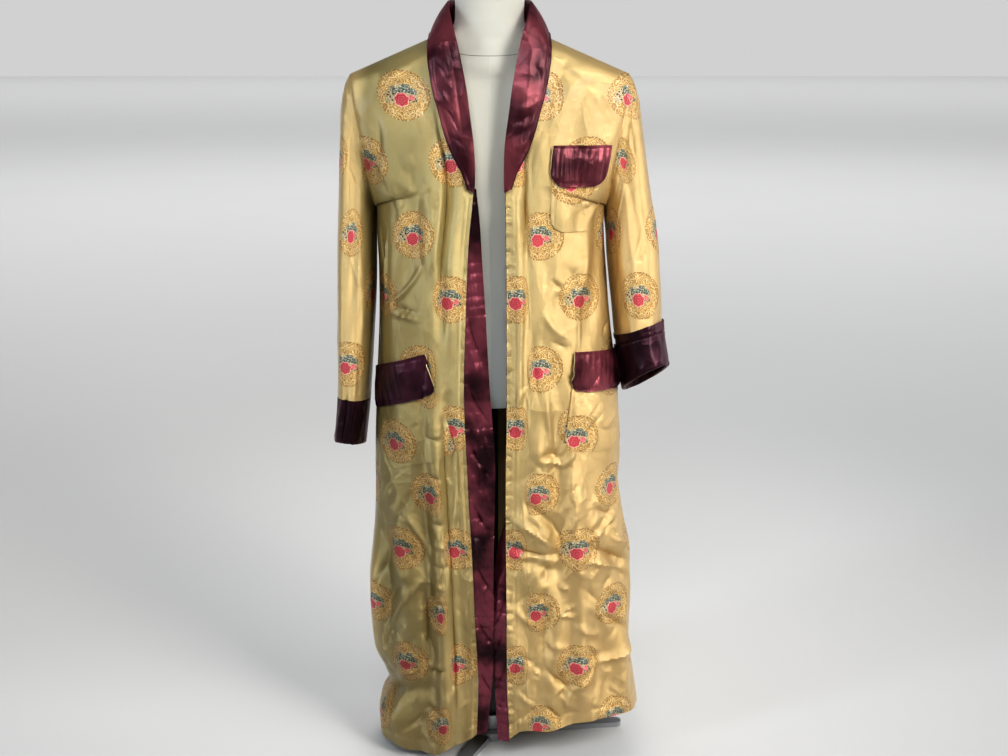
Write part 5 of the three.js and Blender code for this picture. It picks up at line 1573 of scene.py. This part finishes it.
def pocketTop(pocket):
    random = np.random.default_rng(pocket["seed"] + 10)
    count = pocket["gathers"]
    middles = (np.arange(count) + 0.5 + random.uniform(-0.26, 0.26, count)) / count
    heights = random.uniform(0.55, 1.25, count)
    leans = random.uniform(-0.25, 0.25, count) / count

    def wave(t, rise, along, down):
        gathered = np.zeros(t.shape)
        for middle, height, lean in zip(middles, heights, leans):
            far = (t - middle - lean * (1 - rise)) * count * 2.1
            gathered += height * np.exp(-np.abs(far) ** 1.6)
        held = lerp(0.35, 1.0, 1 - smoothstep(rise, 0.5, 0.97))
        hold = 1 - 0.55 * ridge(rise, 0.03, 0.05)
        seamLine = -0.8 * ridge(rise, 0.09, 0.02) - 0.6 * ridge(rise, 0.92, 0.02)
        crown = pocketFit["crown"] * np.sin(np.pi * t) * (1 - rise)
        seams = seamLine * smoothstep(np.minimum(t, 1 - t), 0, 0.04)
        return pocket["gatherRise"] * gathered * held * hold + crown + seams

    lift = robe["layGap"] + robe["trimWall"] + robe["topGap"]
    grid, cloth, along, down = pocketGrid(
        pocket, pocketRows["top"], 0, pocket["flapHeight"], 0, lift, wave
    )
    name = f"pocket_gathers_{pocket['name']}"
    # the right pocket's top, on the shaded side, takes the painted-shade satin; the others take the
    # painted-light one
    outer = shadedPlumSatin if pocket["name"] == "right" else pocketLitSatin
    cloth = np.stack([along, down], axis=-1)
    piece = clothWall(name, grid, robe["trimWall"], cloth, [outer, outer, edgeSatin])
    place(piece, "satin", f"pocket_top_{pocket['name']}")
    innerColumn = 0 if pocket["side"] == "left" else -1
    rim = grid[:, innerColumn] + gridNormals(grid)[:, innerColumn] * robe["trimWall"] * 0.6
    edge = tube(f"pocket_edging_{pocket['name']}", rim, pocketFit["edging"], beigeThread)
    place(edge, "brocade")
    return piece, edge


patches = {pocket["name"]: pocketPatch(pocket) for pocket in pockets}
gathered = {pocket["name"]: pocketTop(pocket) for pocket in pockets}
print("pockets made")

# dress form and stand

formRings = [  # height, half width, reach to the front and to the back
    (712, 128, 80, 88), (730, 136, 85, 93), (790, 144, 87, 96), (860, 144, 85, 94), (940, 134, 82, 86),
    (1010, 126, 82, 80), (1080, 136, 90, 84), (1150, 150, 94, 92), (1210, 162, 86, 92),
    (1260, 174, 74, 84), (1300, 183, 58, 68), (1329.3, 186, 34, 38), (1373, 68, 47, 55),
    (1385, 63, 50, 55), (1402, 60.5, 50, 54), (1457, 60, 50, 54), (1462, 56, 47, 50),
]
formShape = {
    "sides": 96, "lowZ": 712, "neckTop": 1462,
    "neckFlare": (1290, 1372),  # heights over which the neck narrows, and its widths there
    "neckHalf": (78, 60.5), "neckFront": (67, 49), "neckBack": 55,
    "neckStarts": (1215, 1325), "neckAlone": (1350, 1400),
    "smoothFrom": (1240, 1300), "smoothTo": (1384, 1402),
    "neckRound": 5,  # height of the rounding at the neck's top, and how far it draws in
    "neckInset": 3.0,
    "neckSeam": (1336, 1379, 1386),  # height in front, at the sides and behind
    "centreSeam": (716, 1334),
    "seamRadius": 0.8, "centreRadius": 0.7,
}


def formRadius(z, angle):
    rings = np.array(formRings)
    near = (-12, -6, 0, 6, 12)  # a straight profile, averaged over these heights
    straight = [
        sum(np.interp(z + step, rings[:, 0], rings[:, n]) for step in near) / len(near) for n in (1, 2, 3)
    ]
    smooth = readTable(formRings, z)[1:]
    mixed = smoothstep(z, *formShape["smoothFrom"]) * (1 - smoothstep(z, *formShape["smoothTo"]))
    half, front, back = (lerp(b, a, mixed) for a, b in zip(straight, smooth))
    depth = np.where(np.sin(angle) < 0, front, back)
    x, y = half * np.cos(angle), depth * np.sin(angle)
    flare = smoothstep(z, *formShape["neckFlare"])
    neckHalf, neckFront = lerp(*formShape["neckHalf"], flare), lerp(*formShape["neckFront"], flare)
    torso = np.hypot(x, y)
    bearing = np.arctan2(y, x)
    neckDepth = np.where(np.sin(bearing) < 0, neckFront, formShape["neckBack"])
    neckHere = 1 / np.hypot(np.cos(bearing) / neckHalf, np.sin(bearing) / neckDepth)
    neckHere = neckHere * smoothstep(z, *formShape["neckStarts"])
    joined = (torso**8 + neckHere**8) ** 0.125
    radius = lerp(joined, torso, smoothstep(z, *formShape["neckAlone"]))
    return radius * np.cos(bearing), radius * np.sin(bearing)


def formSurface(z, angle, out=0.0):
    x, y = formRadius(z, angle)
    size = np.hypot(x, y)
    return np.stack([x * (1 + out / size), y * (1 + out / size), z + 0 * x], axis=-1)


def dressForm():
    lowZ, neckTop = formShape["lowZ"], formShape["neckTop"]
    flareZ, aloneZ = formShape["neckFlare"][0], formShape["neckAlone"][1]
    roundZ = neckTop - formShape["neckRound"]
    z = np.concatenate([
        np.linspace(lowZ, flareZ, 70), np.linspace(flareZ, aloneZ, 60)[1:],
        np.linspace(aloneZ, roundZ, 10)[1:],
        roundZ + formShape["neckRound"] * np.sin(np.linspace(0, np.pi / 2, 6))[1:],
    ])
    sides = formShape["sides"]
    angle = np.arange(sides) * 2 * np.pi / sides
    grid = formSurface(z[:, None], angle[None, :])
    turn = np.arcsin(np.clip((z - roundZ) / formShape["neckRound"], 0, 1))
    inset = formShape["neckInset"] * (1 - np.cos(turn))
    grid[..., :2] *= (1 - inset / 60)[:, None, None]
    points = np.concatenate([grid.reshape(-1, 3), [[0, 0, lowZ]], [[0, 0, neckTop]]])
    k = np.arange(sides)
    nextK = (k + 1) % sides
    last, bottomPoint, topPoint = (len(z) - 1) * sides, len(z) * sides, len(z) * sides + 1
    bottom = np.stack([nextK, k, np.full(sides, bottomPoint)], axis=1)
    top = np.stack([last + k, last + nextK, np.full(sides, topPoint)], axis=1)
    caps = bottom.tolist() + top.tolist()
    piece = meshObject("form_body", points, ringQuads(len(z), sides), [formCover], caps=caps, sharpAngle=50)
    return place(piece, "cover", "form")


dressForm()
seamAngles = np.linspace(0, 2 * np.pi, formShape["sides"] + 1)[:-1]
frontZ, sideZ, backZ = formShape["neckSeam"]
sine = np.sin(seamAngles)
frontSeam, backSeam = lerp(sideZ, frontZ, np.abs(sine) ** 2.2), lerp(sideZ, backZ, np.abs(sine))
neckLine = formSurface(np.where(sine < 0, frontSeam, backSeam), seamAngles, -0.3)
place(tube("form_neck_seam", neckLine, formShape["seamRadius"], formSeam, closed=True), "cover")
centreZ = np.linspace(*formShape["centreSeam"], 120)
centreLine = formSurface(centreZ, np.full(len(centreZ), -np.pi / 2), -0.35)
place(tube("form_centre_seam", centreLine, formShape["centreRadius"], formCover), "cover")

for name, material in (
    ("form_flange", blackPaint), ("pole", blackPaint), ("base_hub", greySteel),
    ("base_foot_1", greySteel), ("base_foot_2", greySteel), ("base_foot_3", greySteel),
):
    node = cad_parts[name]
    node.data.materials.clear()
    node.data.materials.append(material)
print("form and stand made")

# each pocket's name, side and width in metres, read but not used; then the floor

for pocket in pockets:
    name, side = pocket["name"], pocket["side"]
    wide = pocket["width"] * 0.001

floorMesh = bpy.data.meshes.new("floor")
reach = studio["floorReach"]
corners = [(-reach, -reach, 0), (reach, -reach, 0), (reach, reach, 0), (-reach, reach, 0)]
floorMesh.from_pydata(corners, [], [(0, 1, 2, 3)])
floorMesh.materials.append(floorPaint)
floor = bpy.data.objects.new("floor", floorMesh)
bpy.context.collection.objects.link(floor)
